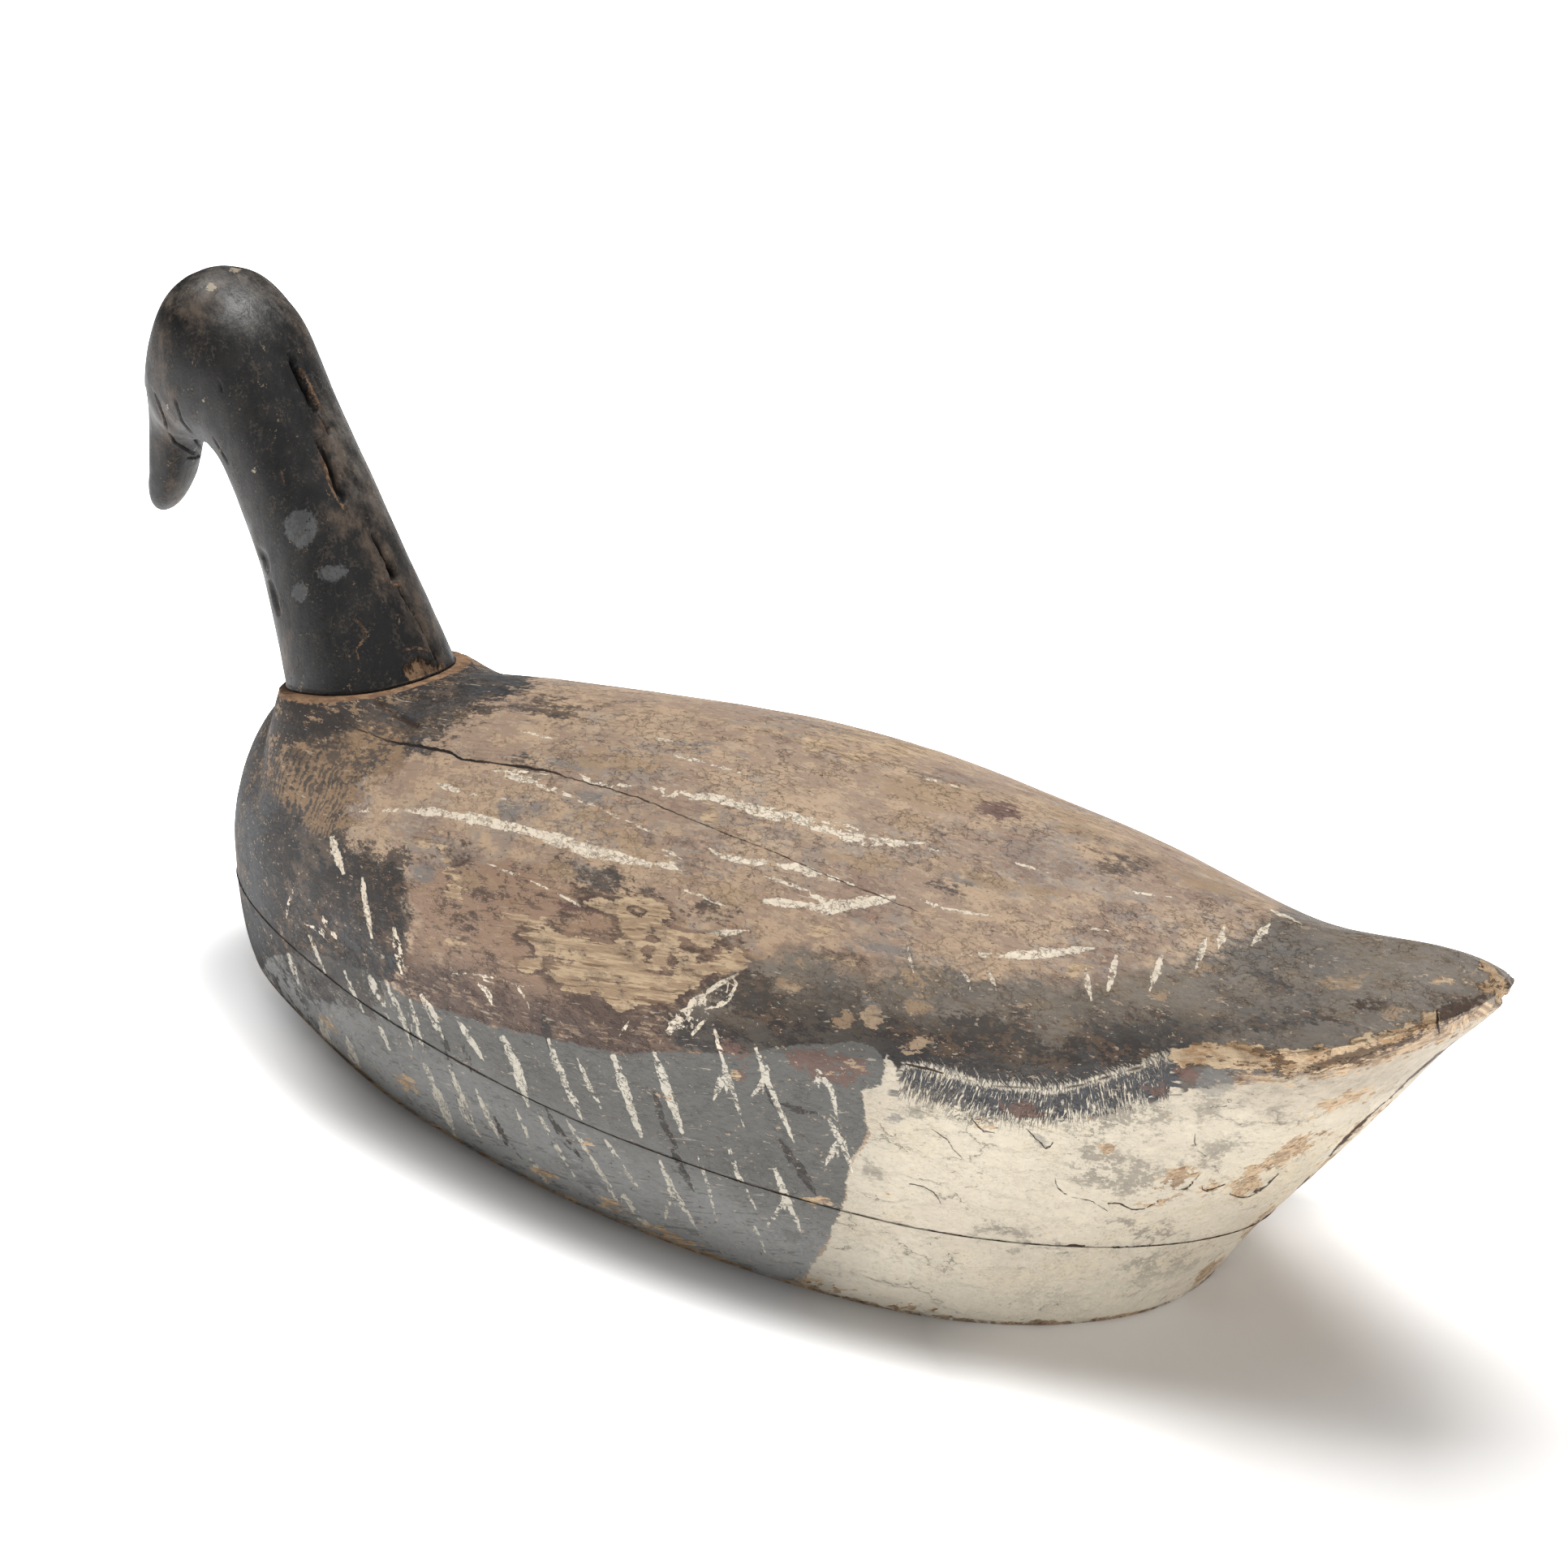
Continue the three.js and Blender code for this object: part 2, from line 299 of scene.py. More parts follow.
def made(name, points, faces, slot, node, finish, **fields):
    """A piece from its vertices and faces: smooth shaded, kept inside the box of the node that it
    replaces, with one attribute of three values for each field."""
    low, high = (np.array(corner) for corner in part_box(node))
    mesh = bpy.data.meshes.new(name)
    mesh.from_pydata(np.clip(points, low, high).tolist(), [], faces)
    mesh.polygons.foreach_set("use_smooth", np.ones(len(faces), bool))
    for field, values in fields.items():
        kept = mesh.attributes.new(field, "FLOAT_VECTOR", "POINT")
        kept.data.foreach_set("vector", np.ascontiguousarray(values, np.float32).ravel())
    mesh.materials.append(finish)
    piece = bpy.data.objects.new(name, mesh)
    bpy.context.scene.collection.objects.link(piece)
    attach(piece, "root")
    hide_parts(node)
    return piece


# Distances beyond the first are not told apart, in pixels or millimetres. The second is the
# length of the comb of strokes on the stern, in pixels
FAR = 60.0
FRINGE_LENGTH = 350

# Where the paint and the wear lie: outlines, in pixels of the photograph
GREY_PANEL = (
    (380, 1170), (455, 1196), (510, 1235), (600, 1262), (700, 1286), (770, 1300), (800, 1296),
    (854, 1298), (913, 1299), (939, 1293), (984, 1288), (1019, 1286), (1046, 1281), (1080, 1290),
    (1100, 1340), (1062, 1345), (1070, 1400), (1048, 1430), (1040, 1480), (1020, 1530), (990, 1575),
    (960, 1640), (600, 1560), (380, 1360), (300, 1240), (330, 1180),
)
STERN = (
    (1092, 1300), (1104, 1318), (1113, 1343), (1160, 1359), (1209, 1374), (1251, 1383), (1294, 1379),
    (1343, 1373), (1386, 1364), (1417, 1355), (1447, 1347), (1500, 1338), (1560, 1330), (1640, 1322),
    (1720, 1298), (1800, 1262), (1880, 1230), (1960, 1300), (1600, 1720), (1000, 1720), (960, 1640),
    (990, 1575), (1020, 1530), (1040, 1480), (1048, 1430), (1070, 1400), (1062, 1345), (1084, 1338),
)
BREAST = (
    (660, 820), (650, 850), (590, 868), (545, 900), (500, 935), (455, 958), (430, 1000), (440, 1050),
    (500, 1085), (512, 1140), (500, 1200), (470, 1225), (440, 1290), (380, 1300), (240, 1240),
    (240, 800), (350, 780),
)
TAIL = (
    (1620, 1080), (1560, 1138), (1490, 1168), (1410, 1192), (1330, 1212), (1230, 1205), (1130, 1188),
    (1060, 1200), (1000, 1168), (930, 1178), (870, 1215), (812, 1262), (840, 1300), (1100, 1330),
    (1300, 1400), (1500, 1350), (1900, 1230), (1900, 1150), (1700, 1080),
)
FLANK = (
    (505, 1086), (560, 1052), (640, 1062), (740, 1088), (850, 1134), (950, 1165), (1040, 1185),
    (1130, 1200), (1130, 1330), (990, 1300), (850, 1315), (700, 1305), (560, 1262), (480, 1225),
    (500, 1170),
)
WOOD_PATCH = (
    (653, 1141), (669, 1146), (692, 1152), (717, 1152), (733, 1157), (756, 1163), (767, 1146),
    (760, 1129), (719, 1113), (739, 1109), (761, 1111), (800, 1110), (822, 1116), (825, 1127),
    (811, 1135), (836, 1143), (864, 1149), (908, 1163), (914, 1174), (925, 1188), (903, 1199),
    (878, 1199), (864, 1204), (853, 1218), (833, 1224), (831, 1238), (811, 1238), (783, 1232),
    (772, 1243), (760, 1247), (751, 1238), (739, 1227), (717, 1227), (694, 1218), (692, 1210),
    (672, 1209), (669, 1203), (686, 1200), (667, 1193), (642, 1199), (636, 1185), (658, 1179),
    (656, 1163), (637, 1154), (639, 1149),
)
FRINGE_TOP = (
    (1114, 1313), (1160, 1320), (1190, 1331), (1227, 1339), (1270, 1341), (1306, 1342), (1337, 1336),
    (1374, 1324), (1404, 1316), (1426, 1304), (1441, 1304),
)
TORN_BAND = (
    (1440, 1292), (1480, 1288), (1549, 1284), (1600, 1290), (1654, 1286), (1684, 1275), (1720, 1263),
    (1750, 1253), (1773, 1244), (1776, 1266), (1720, 1288), (1660, 1311), (1600, 1324), (1520, 1318),
    (1450, 1312),
)
BARE_EDGE = (
    (1515, 1320), (1600, 1326), (1660, 1313), (1720, 1290), (1776, 1268), (1838, 1232), (1846, 1246),
    (1780, 1284), (1700, 1312), (1600, 1338), (1524, 1334),
)
TORN_TIP = (
    (1812, 1190), (1846, 1166), (1895, 1176), (1900, 1244), (1850, 1236), (1822, 1216), (1836, 1200),
)

# Spots: centre, half length, half height and turn of each in pixels and degrees
BARE_SPOTS = (
    (520, 1033, 12, 9, 20), (560, 1160, 12, 8, 20), (648, 1135, 26, 5, 10), (560, 1100, 12, 8, 0),
    (780, 1108, 26, 7, 10), (1042, 1185, 22, 6, 20), (975, 1216, 9, 6, 0), (1075, 1250, 12, 16, 0),
    (1128, 1288, 20, 8, -10), (1013, 918, 20, 7, 5), (1056, 932, 18, 7, 10), (1108, 921, 38, 9, 8),
    (1060, 907, 40, 7, 10), (1010, 1145, 14, 7, 0), (1330, 1192, 24, 6, -20), (1000, 1480, 14, 4, 15),
    (1056, 1316, 9, 3, 12), (1030, 1322, 6, 3, -10), (872, 1000, 9, 12, 0), (1250, 930, 26, 6, 25),
    (1364, 1416, 9, 7, 0), (1450, 1453, 26, 9, -24), (1495, 1462, 14, 6, -22), (1410, 1486, 16, 4, -18),
    (1778, 1208, 14, 4, -5), (1539, 1461, 22, 11, -34), (1563, 1436, 35, 7, -22),
    (1598, 1413, 22, 8, -24), (1668, 1396, 26, 4, -42), (1630, 1440, 20, 4, -48),
    (1550, 1510, 26, 5, -46), (1656, 1358, 36, 8, -22), (1704, 1372, 18, 5, -42),
    (1606, 1414, 26, 8, -24), (1490, 1566, 22, 6, -44), (672, 1448, 12, 5, 25), (752, 1487, 18, 5, 25),
    (828, 1524, 24, 4, 18), (500, 1335, 14, 5, 30), (1010, 1585, 26, 4, 14), (1120, 1612, 24, 3, 8),
    (404, 1262, 12, 4, 45), (724, 1407, 4, 3, 0), (630, 990, 8, 4, 0), (445, 1010, 5, 9, 0),
    (905, 1326, 6, 6, 0), (1213, 1386, 10, 5, 25), (550, 1060, 6, 16, -20),
)
OCHRE_SPOTS = (
    (1120, 1014, 15, 9, 0), (1477, 1195, 14, 6, 0), (1642, 1210, 12, 4, 0), (1667, 1203, 9, 3, 0),
    (1718, 1247, 9, 5, -10), (1437, 1223, 5, 3, 0), (725, 1005, 22, 6, 8), (602, 1001, 10, 6, 0),
    (765, 1036, 34, 11, 15), (987, 1187, 8, 6, 0), (967, 1217, 12, 9, 0), (1042, 1260, 14, 13, 0),
    (1126, 1205, 13, 9, 0), (1350, 1564, 6, 6, 0), (880, 1010, 8, 14, 10), (1150, 980, 60, 16, 14),
    (760, 940, 50, 12, 8), (1130, 1240, 18, 12, 0), (1240, 1090, 60, 12, 12), (1500, 1090, 50, 10, 14),
    (690, 1075, 20, 6, 10), (580, 1085, 20, 8, 10), (900, 1100, 26, 7, 8), (1320, 1010, 50, 12, 20),
    (1060, 1060, 40, 8, 10),
)
BLUE_SPOTS = (
    (627, 997, 16, 12, 15), (660, 994, 8, 5, 0), (730, 981, 11, 5, 10), (730, 1081, 36, 15, 20),
    (1188, 1085, 24, 10, 15), (1498, 1333, 23, 17, 0), (1279, 1402, 13, 7, 35), (1102, 1378, 8, 5, 0),
    (520, 1075, 14, 10, 0), (860, 920, 26, 6, 10), (1420, 1010, 40, 8, 20), (700, 940, 26, 5, 8),
    (1072, 1241, 12, 10, 0), (1090, 1168, 26, 5, 10),
)
LEFT_ON = (
    (803, 1157, 9, 7, 0), (844, 1167, 14, 7, 10), (861, 1181, 8, 6, 0), (828, 1181, 10, 7, 0),
    (889, 1167, 10, 4, 10), (876, 1175, 6, 4, 0), (844, 1154, 6, 4, 0), (796, 1171, 6, 7, 0),
    (703, 1177, 9, 6, 0), (677, 1179, 11, 7, 0), (690, 1183, 10, 4, 20), (778, 1121, 11, 5, 10),
    (744, 1137, 15, 10, 30), (740, 1154, 14, 5, 20), (815, 1196, 16, 5, 10),
)
SMUDGES = (
    (1377, 1443, 58, 24, 14), (1293, 1602, 26, 12, 0), (1426, 1565, 44, 18, -15),
    (1210, 1445, 10, 5, 0), (1575, 1380, 18, 12, -30), (1420, 1520, 40, 10, 10),
    (1500, 1420, 26, 10, -20), (1075, 1440, 8, 5, 60), (1160, 1372, 26, 6, 0),
    (1378, 1384, 54, 18, -12), (1470, 1372, 40, 9, -12), (1090, 1545, 14, 5, 20),
    (1240, 1520, 30, 7, 20),
)
# Dark spots: soot, and along the torn tail edge a painted shadow under its lip
DARK_SPOTS_AND_LIP_SHADOW = (
    (740, 1088, 44, 14, 15), (800, 1130, 26, 16, 20), (715, 1090, 16, 10, 0), (545, 872, 34, 12, -14),
    (682, 874, 30, 10, 10), (505, 895, 30, 8, 12), (1806, 1241, 34, 8, -24), (1640, 1311, 64, 5, -14),
    (1728, 1284, 40, 5, -24), (560, 1050, 20, 8, 0), (865, 1120, 20, 10, 0), (480, 1120, 16, 40, -8),
    (670, 1280, 8, 16, 8), (1365, 1285, 74, 30, -14), (1205, 1278, 92, 30, 6), (930, 1235, 60, 30, 10),
    (1380, 1065, 20, 8, 0), (650, 945, 12, 8, 0), (1190, 1090, 16, 6, 0), (1560, 1206, 40, 8, 14),
    (440, 1250, 14, 40, -12), (841, 1232, 10, 10, 0), (874, 1209, 14, 9, 0), (460, 1130, 22, 50, -8),
    (385, 1150, 36, 50, -10), (1540, 1260, 120, 9, -8), (862, 1182, 10, 4, 0),
)
RED_SPOTS = (
    (1264, 1370, 28, 9, 8), (1311, 1364, 5, 5, 0), (1428, 1343, 19, 9, -8), (1460, 1325, 14, 9, 0),
    (1022, 1314, 44, 20, 12), (1229, 1000, 22, 9, 0), (930, 1300, 12, 3, 0), (913, 1320, 4, 9, 10),
    (905, 1290, 14, 4, 0), (720, 1116, 26, 8, 0),
)
RIPPLED = ((375, 960, 60, 95, -10),)
RUBBED = (
    (462, 940, 62, 66, -20), (400, 880, 70, 14, 4), (560, 880, 90, 14, -14), (430, 1010, 26, 40, 0),
    (380, 960, 50, 60, -10),
)
BLACKENED = (
    (455, 1110, 44, 66, -10), (400, 1190, 60, 40, 30), (345, 1060, 22, 56, -6), (350, 880, 40, 16, 0),
    (480, 1060, 26, 20, 0), (548, 858, 40, 10, -16), (606, 872, 36, 10, -4), (412, 1104, 34, 36, 0),
    (350, 1130, 16, 40, -6), (448, 1210, 26, 40, -10),
)

# Brush strokes: half width in pixels, strength from 0 to 1, and the points of the stroke
BACK_STROKES = (
    (2.4, 0.5, ((434, 999), (470, 998), (500, 998))),
    (4.6, 0.85, ((500, 998), (540, 1000), (560, 1004))),
    (6.2, 1.0, ((556, 1004), (590, 1010), (620, 1017), (646, 1022), (662, 1026))),
    (7.6, 1.0, ((650, 1023), (690, 1034), (720, 1045), (760, 1055), (797, 1064))),
    (3.4, 0.8, ((812, 1064), (835, 1071))),
    (4.2, 0.8, ((625, 956), (640, 960), (659, 963))),
    (3.4, 0.7, ((665, 968), (682, 972), (699, 979))),
    (2.4, 0.7, ((716, 987), (726, 989), (736, 993))),
    (1.6, 0.7, ((750, 1001), (757, 1004), (764, 1010))),
    (2.0, 0.7, ((775, 1012), (786, 1017), (796, 1022))),
    (2.2, 0.8, ((820, 1048), (828, 1051), (836, 1056))),
    (1.4, 0.6, ((607, 949), (640, 950), (680, 954))),
    (3.0, 0.85, ((718, 956), (723, 960), (728, 964))),
    (2.6, 0.7, ((737, 964), (744, 965), (751, 968))),
    (2.0, 0.7, ((760, 966), (775, 967))),
    (4.4, 0.85, ((808, 971), (817, 975), (828, 980))),
    (4.0, 0.7, ((830, 976), (846, 979), (862, 983))),
    (1.6, 0.8, ((603, 1065), (612, 1068))),
    (1.7, 0.75, ((622, 1073), (638, 1078), (656, 1086))),
    (1.7, 0.75, ((660, 1088), (671, 1093))),
    (1.7, 0.65, ((685, 1100), (704, 1110), (722, 1120))),
    (5.6, 0.95, ((858, 979), (890, 985), (925, 995), (960, 1003), (985, 1008), (1014, 1012))),
    (2.4, 0.8, ((930, 1003), (960, 1009), (990, 1015))),
    (3.0, 0.8, ((1018, 1013), (1040, 1017), (1061, 1022))),
    (3.6, 0.85, ((1000, 1020), (1030, 1026), (1060, 1032), (1100, 1040), (1136, 1038))),
    (4.6, 0.9, ((1040, 1032), (1070, 1036), (1110, 1037))),
    (1.6, 0.6, ((1140, 1046), (1160, 1048))),
    (3.6, 1.0, ((890, 1055), (920, 1061), (949, 1062))),
    (2.6, 0.8, ((875, 1046), (882, 1051), (894, 1056))),
    (4.8, 1.0, ((963, 1066), (985, 1069), (1010, 1077), (1031, 1084))),
    (2.6, 0.85, ((1030, 1083), (1040, 1086), (1048, 1089))),
    (2.0, 0.8, ((945, 1080), (970, 1088), (996, 1097))),
    (2.0, 0.8, ((1000, 1103), (1008, 1105), (1017, 1108))),
    (5.4, 1.0, ((946, 1110), (972, 1113), (1001, 1114))),
    (7.2, 1.0, ((1006, 1118), (1030, 1116), (1060, 1112), (1097, 1105))),
    (2.8, 0.8, ((1138, 1109), (1148, 1113), (1160, 1118))),
    (1.8, 0.7, ((1160, 1118), (1190, 1124), (1222, 1128))),
    (3.4, 0.7, ((1190, 1175), (1240, 1177), (1290, 1174))),
    (5.0, 0.95, ((1235, 1177), (1290, 1174), (1343, 1168))),
    (1.8, 0.6, ((830, 1092), (860, 1102), (891, 1115))),
    (3.8, 0.95, ((874, 1150), (896, 1149), (918, 1146))),
    (3.4, 0.8, ((542, 966), (560, 972), (586, 979))),
    (1.4, 0.5, ((585, 980), (620, 984))),
    (2.4, 0.85, ((834, 930), (850, 934), (866, 938))),
    (1.6, 0.7, ((872, 940), (900, 948), (930, 956))),
    (1.4, 0.45, ((645, 900), (690, 912))),
    (1.6, 0.5, ((790, 905), (836, 914))),
    (1.8, 0.5, ((1400, 1000), (1440, 1012))),
    (1.8, 0.5, ((1320, 1140), (1366, 1146))),
    (1.4, 0.45, ((1240, 1060), (1290, 1074))),
    (1.8, 0.5, ((1395, 1098), (1460, 1108))),
    (1.8, 0.5, ((1115, 950), (1190, 972))),
    (4.6, 0.9, ((848, 1240), (858, 1232), (869, 1225))),
    (3.0, 0.8, ((866, 1226), (885, 1213), (906, 1201))),
    (3.0, 0.8, ((872, 1242), (886, 1238), (897, 1231), (907, 1212))),
    (8.0, 0.8, ((826, 1268), (838, 1256), (850, 1243))),
    (3.0, 0.75, ((855, 1272), (862, 1263), (869, 1256))),
    (1.8, 0.6, ((560, 1200), (600, 1203), (640, 1214))),
    (3.2, 0.85, ((592, 1216), (600, 1222), (604, 1234))),
)
TICKS = (
    (5.4, 1.0, ((409, 1036), (413, 1050), (421, 1072))),
    (3.4, 1.0, ((446, 1086), (450, 1116), (457, 1152))),
    (1.6, 0.5, ((360, 1096), (354, 1116), (352, 1132))),
    (4.8, 0.6, ((486, 1148), (490, 1176), (494, 1196))),
    (2.1, 0.7, ((378, 1140), (392, 1146), (402, 1158))),
    (4.0, 0.4, ((398, 1134), (408, 1150), (414, 1160))),
    (2.4, 0.9, ((382, 1156), (390, 1176), (398, 1196))),
    (3.7, 0.7, ((356, 1180), (362, 1196), (366, 1208))),
    (1.9, 0.7, ((425, 1200), (434, 1222), (446, 1244))),
    (3.5, 0.6, ((453, 1200), (466, 1230), (476, 1252))),
    (3.2, 0.75, ((476, 1215), (492, 1250), (506, 1290))),
    (2.7, 0.6, ((505, 1236), (512, 1262), (520, 1296))),
    (4.0, 0.85, ((520, 1230), (532, 1252), (543, 1277))),
    (3.5, 0.8, ((566, 1262), (582, 1286), (594, 1305))),
    (5.6, 1.0, ((620, 1282), (634, 1310), (649, 1359))),
    (4.0, 0.95, ((676, 1285), (694, 1330), (717, 1381))),
    (2.9, 0.8, ((712, 1308), (724, 1336), (738, 1362))),
    (5.2, 1.0, ((756, 1305), (770, 1346), (788, 1397))),
    (5.2, 0.95, ((806, 1302), (822, 1346), (839, 1392))),
    (2.9, 0.9, ((881, 1273), (888, 1300), (915, 1385))),
    (3.7, 0.9, ((892, 1316), (886, 1338), (880, 1352))),
    (3.7, 0.9, ((932, 1296), (944, 1330), (976, 1404))),
    (4.0, 0.9, ((944, 1322), (938, 1336), (928, 1348))),
    (3.5, 0.9, ((1008, 1322), (1022, 1340), (1031, 1378))),
    (3.2, 0.8, ((1012, 1324), (1006, 1334), (1000, 1340))),
    (4.0, 0.95, ((1023, 1384), (1036, 1406), (1049, 1441))),
    (3.2, 0.9, ((1032, 1402), (1026, 1418), (1018, 1434))),
    (4.8, 0.9, ((395, 1262), (402, 1284), (424, 1310))),
    (4.4, 0.8, ((428, 1282), (434, 1300), (440, 1312))),
    (2.1, 0.6, ((465, 1262), (474, 1280), (480, 1296))),
    (4.8, 0.95, ((532, 1338), (545, 1362), (556, 1388))),
    (2.7, 0.8, ((520, 1308), (528, 1324), (534, 1340))),
    (3.2, 0.8, ((554, 1318), (568, 1352), (583, 1387))),
    (1.9, 0.7, ((562, 1350), (572, 1380), (592, 1402))),
    (2.6, 0.8, ((587, 1346), (598, 1372), (612, 1399))),
    (2.1, 0.8, ((636, 1370), (646, 1392), (652, 1412))),
    (2.4, 0.75, ((664, 1375), (684, 1412), (705, 1447))),
    (2.4, 0.8, ((700, 1384), (718, 1412), (727, 1425))),
    (2.6, 0.8, ((727, 1425), (742, 1450), (759, 1478))),
    (2.4, 0.75, ((747, 1408), (768, 1440), (787, 1466))),
    (3.2, 0.8, ((814, 1435), (828, 1466), (856, 1512))),
    (2.9, 0.7, ((824, 1462), (822, 1480), (820, 1500))),
    (2.2, 0.7, ((860, 1427), (872, 1462), (881, 1501))),
    (2.2, 0.75, ((896, 1409), (908, 1446), (929, 1487))),
    (3.7, 0.85, ((955, 1443), (968, 1476), (985, 1515))),
    (3.2, 0.7, ((966, 1478), (958, 1494), (948, 1506))),
    (4.0, 0.7, ((560, 1402), (568, 1412), (576, 1422))),
    (4.0, 0.8, ((770, 1476), (784, 1496), (800, 1512))),
    (3.2, 0.7, ((655, 1432), (664, 1446), (672, 1456))),
    (3.2, 0.6, ((930, 1516), (936, 1530), (940, 1540))),
    (1.9, 0.8, ((1186, 1198), (1192, 1206), (1194, 1216))),
    (2.1, 0.8, ((1217, 1196), (1222, 1206), (1226, 1216))),
    (2.7, 1.0, ((1338, 1196), (1340, 1212), (1344, 1228))),
    (4.8, 1.0, ((1374, 1182), (1370, 1200), (1366, 1216))),
    (4.6, 1.0, ((1429, 1182), (1424, 1200), (1418, 1216))),
    (4.0, 1.0, ((1484, 1160), (1479, 1176), (1475, 1188))),
    (4.4, 1.0, ((1507, 1146), (1504, 1156), (1502, 1164))),
    (5.4, 1.0, ((1560, 1142), (1552, 1151), (1545, 1160))),
    (1.9, 0.9, ((1570, 1122), (1586, 1128), (1600, 1136))),
    (1.6, 0.6, ((1118, 1166), (1120, 1180), (1124, 1194))),
    (1.8, 0.6, ((772, 1262), (764, 1276), (758, 1284))),
    (1.9, 0.6, ((640, 1222), (648, 1232), (650, 1240))),
)
DARK_TICKS = (
    (4.8, 0.8, ((668, 1250), (672, 1268), (676, 1292))),
    (3.2, 0.5, ((568, 1280), (574, 1300), (580, 1320))),
    (4.0, 0.6, ((673, 1369), (690, 1398), (717, 1430))),
    (4.0, 0.65, ((806, 1350), (816, 1384), (834, 1415))),
    (4.8, 0.75, ((829, 1420), (838, 1440), (852, 1466))),
    (3.2, 0.5, ((770, 1330), (776, 1356), (784, 1380))),
    (3.2, 0.5, ((486, 1236), (498, 1262), (508, 1290))),
    (3.2, 0.6, ((540, 1268), (548, 1290), (556, 1312))),
    (5.2, 1.0, ((962, 1408), (984, 1440), (1004, 1472))),
    (4.0, 0.6, ((962, 1360), (984, 1368), (1003, 1372))),
    (2.9, 0.5, ((610, 1380), (624, 1408), (640, 1426))),
    (3.2, 0.5, ((940, 1330), (948, 1352), (960, 1372))),
    (5.6, 0.5, ((560, 1338), (566, 1356), (576, 1372))),
)
BODY_CRACKS = (
    (0.8, 0.5, ((418, 887), (440, 898), (474, 911))),
    (1.7, 1.0, ((474, 911), (517, 918), (552, 924), (564, 932), (571, 934), (606, 939))),
    (1.4, 1.0, ((600, 938), (642, 943), (682, 950), (697, 957))),
    (0.5, 0.65, ((692, 955), (725, 964), (751, 971), (780, 980), (809, 991), (841, 1005))),
    (0.35, 0.45, ((835, 1003), (888, 1024), (960, 1052), (1035, 1085), (1095, 1108), (1130, 1122))),
    (0.3, 0.3, ((1130, 1122), (1180, 1135), (1290, 1165))),
    (1.2, 0.8, ((1118, 1312), (1140, 1317), (1160, 1322))),
    (0.3, 0.45, ((1300, 1452), (1302, 1462), (1309, 1471), (1323, 1476), (1343, 1480), (1363, 1492))),
    (0.6, 0.6, ((1367, 1484), (1376, 1483), (1385, 1486), (1397, 1493), (1410, 1491), (1424, 1482))),
    (0.6, 0.6, ((1452, 1467), (1462, 1466), (1468, 1460), (1475, 1452))),
    (0.6, 0.6, ((1481, 1466), (1484, 1472), (1492, 1467), (1507, 1462))),
    (0.4, 0.5, ((1518, 1474), (1536, 1478), (1556, 1468), (1574, 1450))),
    (0.3, 0.4, ((1150, 1393), (1167, 1405), (1177, 1420), (1187, 1430))),
    (0.4, 0.5, ((1123, 1460), (1137, 1462), (1150, 1470), (1158, 1482))),
    (0.3, 0.35, ((1180, 1467), (1190, 1464), (1202, 1462))),
    (0.4, 0.5, ((1199, 1380), (1204, 1389), (1212, 1395), (1225, 1396))),
    (0.4, 0.55, ((1267, 1394), (1277, 1404), (1290, 1417), (1297, 1408))),
    (0.3, 0.4, ((1472, 1402), (1473, 1417), (1487, 1427), (1500, 1421), (1506, 1410))),
    (1.6, 1.0, ((1771, 1247), (1772, 1260), (1774, 1274))),
    (1.1, 0.9, ((1640, 1424), (1660, 1404), (1686, 1380), (1704, 1362))),
    (0.8, 0.8, ((1716, 1352), (1740, 1330), (1768, 1306), (1800, 1282))),
    (1.0, 0.8, ((1560, 1510), (1590, 1480), (1612, 1452))),
    (0.6, 0.7, ((1546, 1470), (1560, 1462), (1574, 1450))),
    (1.0, 0.9, ((1315, 1536), (1333, 1536))),
    (1.0, 0.9, ((1368, 1538), (1391, 1538), (1415, 1536))),
)
GOUGE = ((464, 863), (480, 874), (494, 884), (512, 892))

# Splits of the neck and cracks of the bill: half width in pixels, depth, and the points
HEAD_SLOTS = (
    (5.4, 7 * MM, ((358, 436), (366, 452), (378, 478), (391, 503))),
    (2.0, 2 * MM, ((391, 503), (398, 516), (406, 528))),
    (3.6, 3.5 * MM, ((404, 524), (406, 530), (408, 534))),
    (5.2, 5 * MM, ((394, 542), (404, 564), (414, 592), (422, 616))),
    (3.6, 4 * MM, ((462, 658), (468, 672), (476, 688), (486, 704))),
    (6.2, 5 * MM, ((482, 696), (487, 706), (489, 712))),
    (2.2, 3 * MM, ((492, 722), (500, 736), (512, 756))),
    (2.1, 2.4 * MM, ((512, 756), (522, 774), (530, 792), (538, 806), (546, 825))),
    (5.0, 1.2 * MM, ((318, 676), (325, 690), (329, 704))),
    (3.6, 1.4 * MM, ((332, 716), (338, 736), (343, 756))),
)
BILL_CRACKS = (
    (2.0, 1.4 * MM, ((190, 486), (196, 502), (202, 518), (205, 532), (216, 546), (236, 558), (256, 564))),
    (1.8, 1.2 * MM, ((214, 492), (219, 506), (223, 519), (235, 534), (252, 558))),
    (1.4, 1.2 * MM, ((232, 565), (242, 565), (252, 563))),
    (1.2, 0.8 * MM, ((262, 540), (272, 556), (280, 570))),
    (1.4, 0.8 * MM, ((268, 468), (271, 476), (273, 482))),
)
BILL = (
    (150, 470), (186, 478), (194, 500), (200, 518), (203, 532), (214, 547), (236, 560), (262, 572),
    (240, 640), (150, 660),
)
BILL_SETBACK = 0.45 * MM
SLOT_WOOD = (
    (4.2, 1.0, ((393, 545), (402, 574), (412, 602), (424, 626))),
    (1.2, 0.6, ((372, 452), (384, 476), (400, 508))),
    (3.6, 1.0, ((484, 716), (494, 720))),
    (2.2, 0.5, ((466, 670), (480, 700))),
    (1.4, 0.8, ((346, 580), (350, 598))),
    (3.0, 0.6, ((396, 520), (402, 530))),
    (1.5, 0.6, ((436, 763), (446, 770), (450, 782), (446, 792), (438, 800), (442, 812))),
    (1.3, 0.5, ((498, 801), (514, 797), (530, 801), (540, 810))),
)
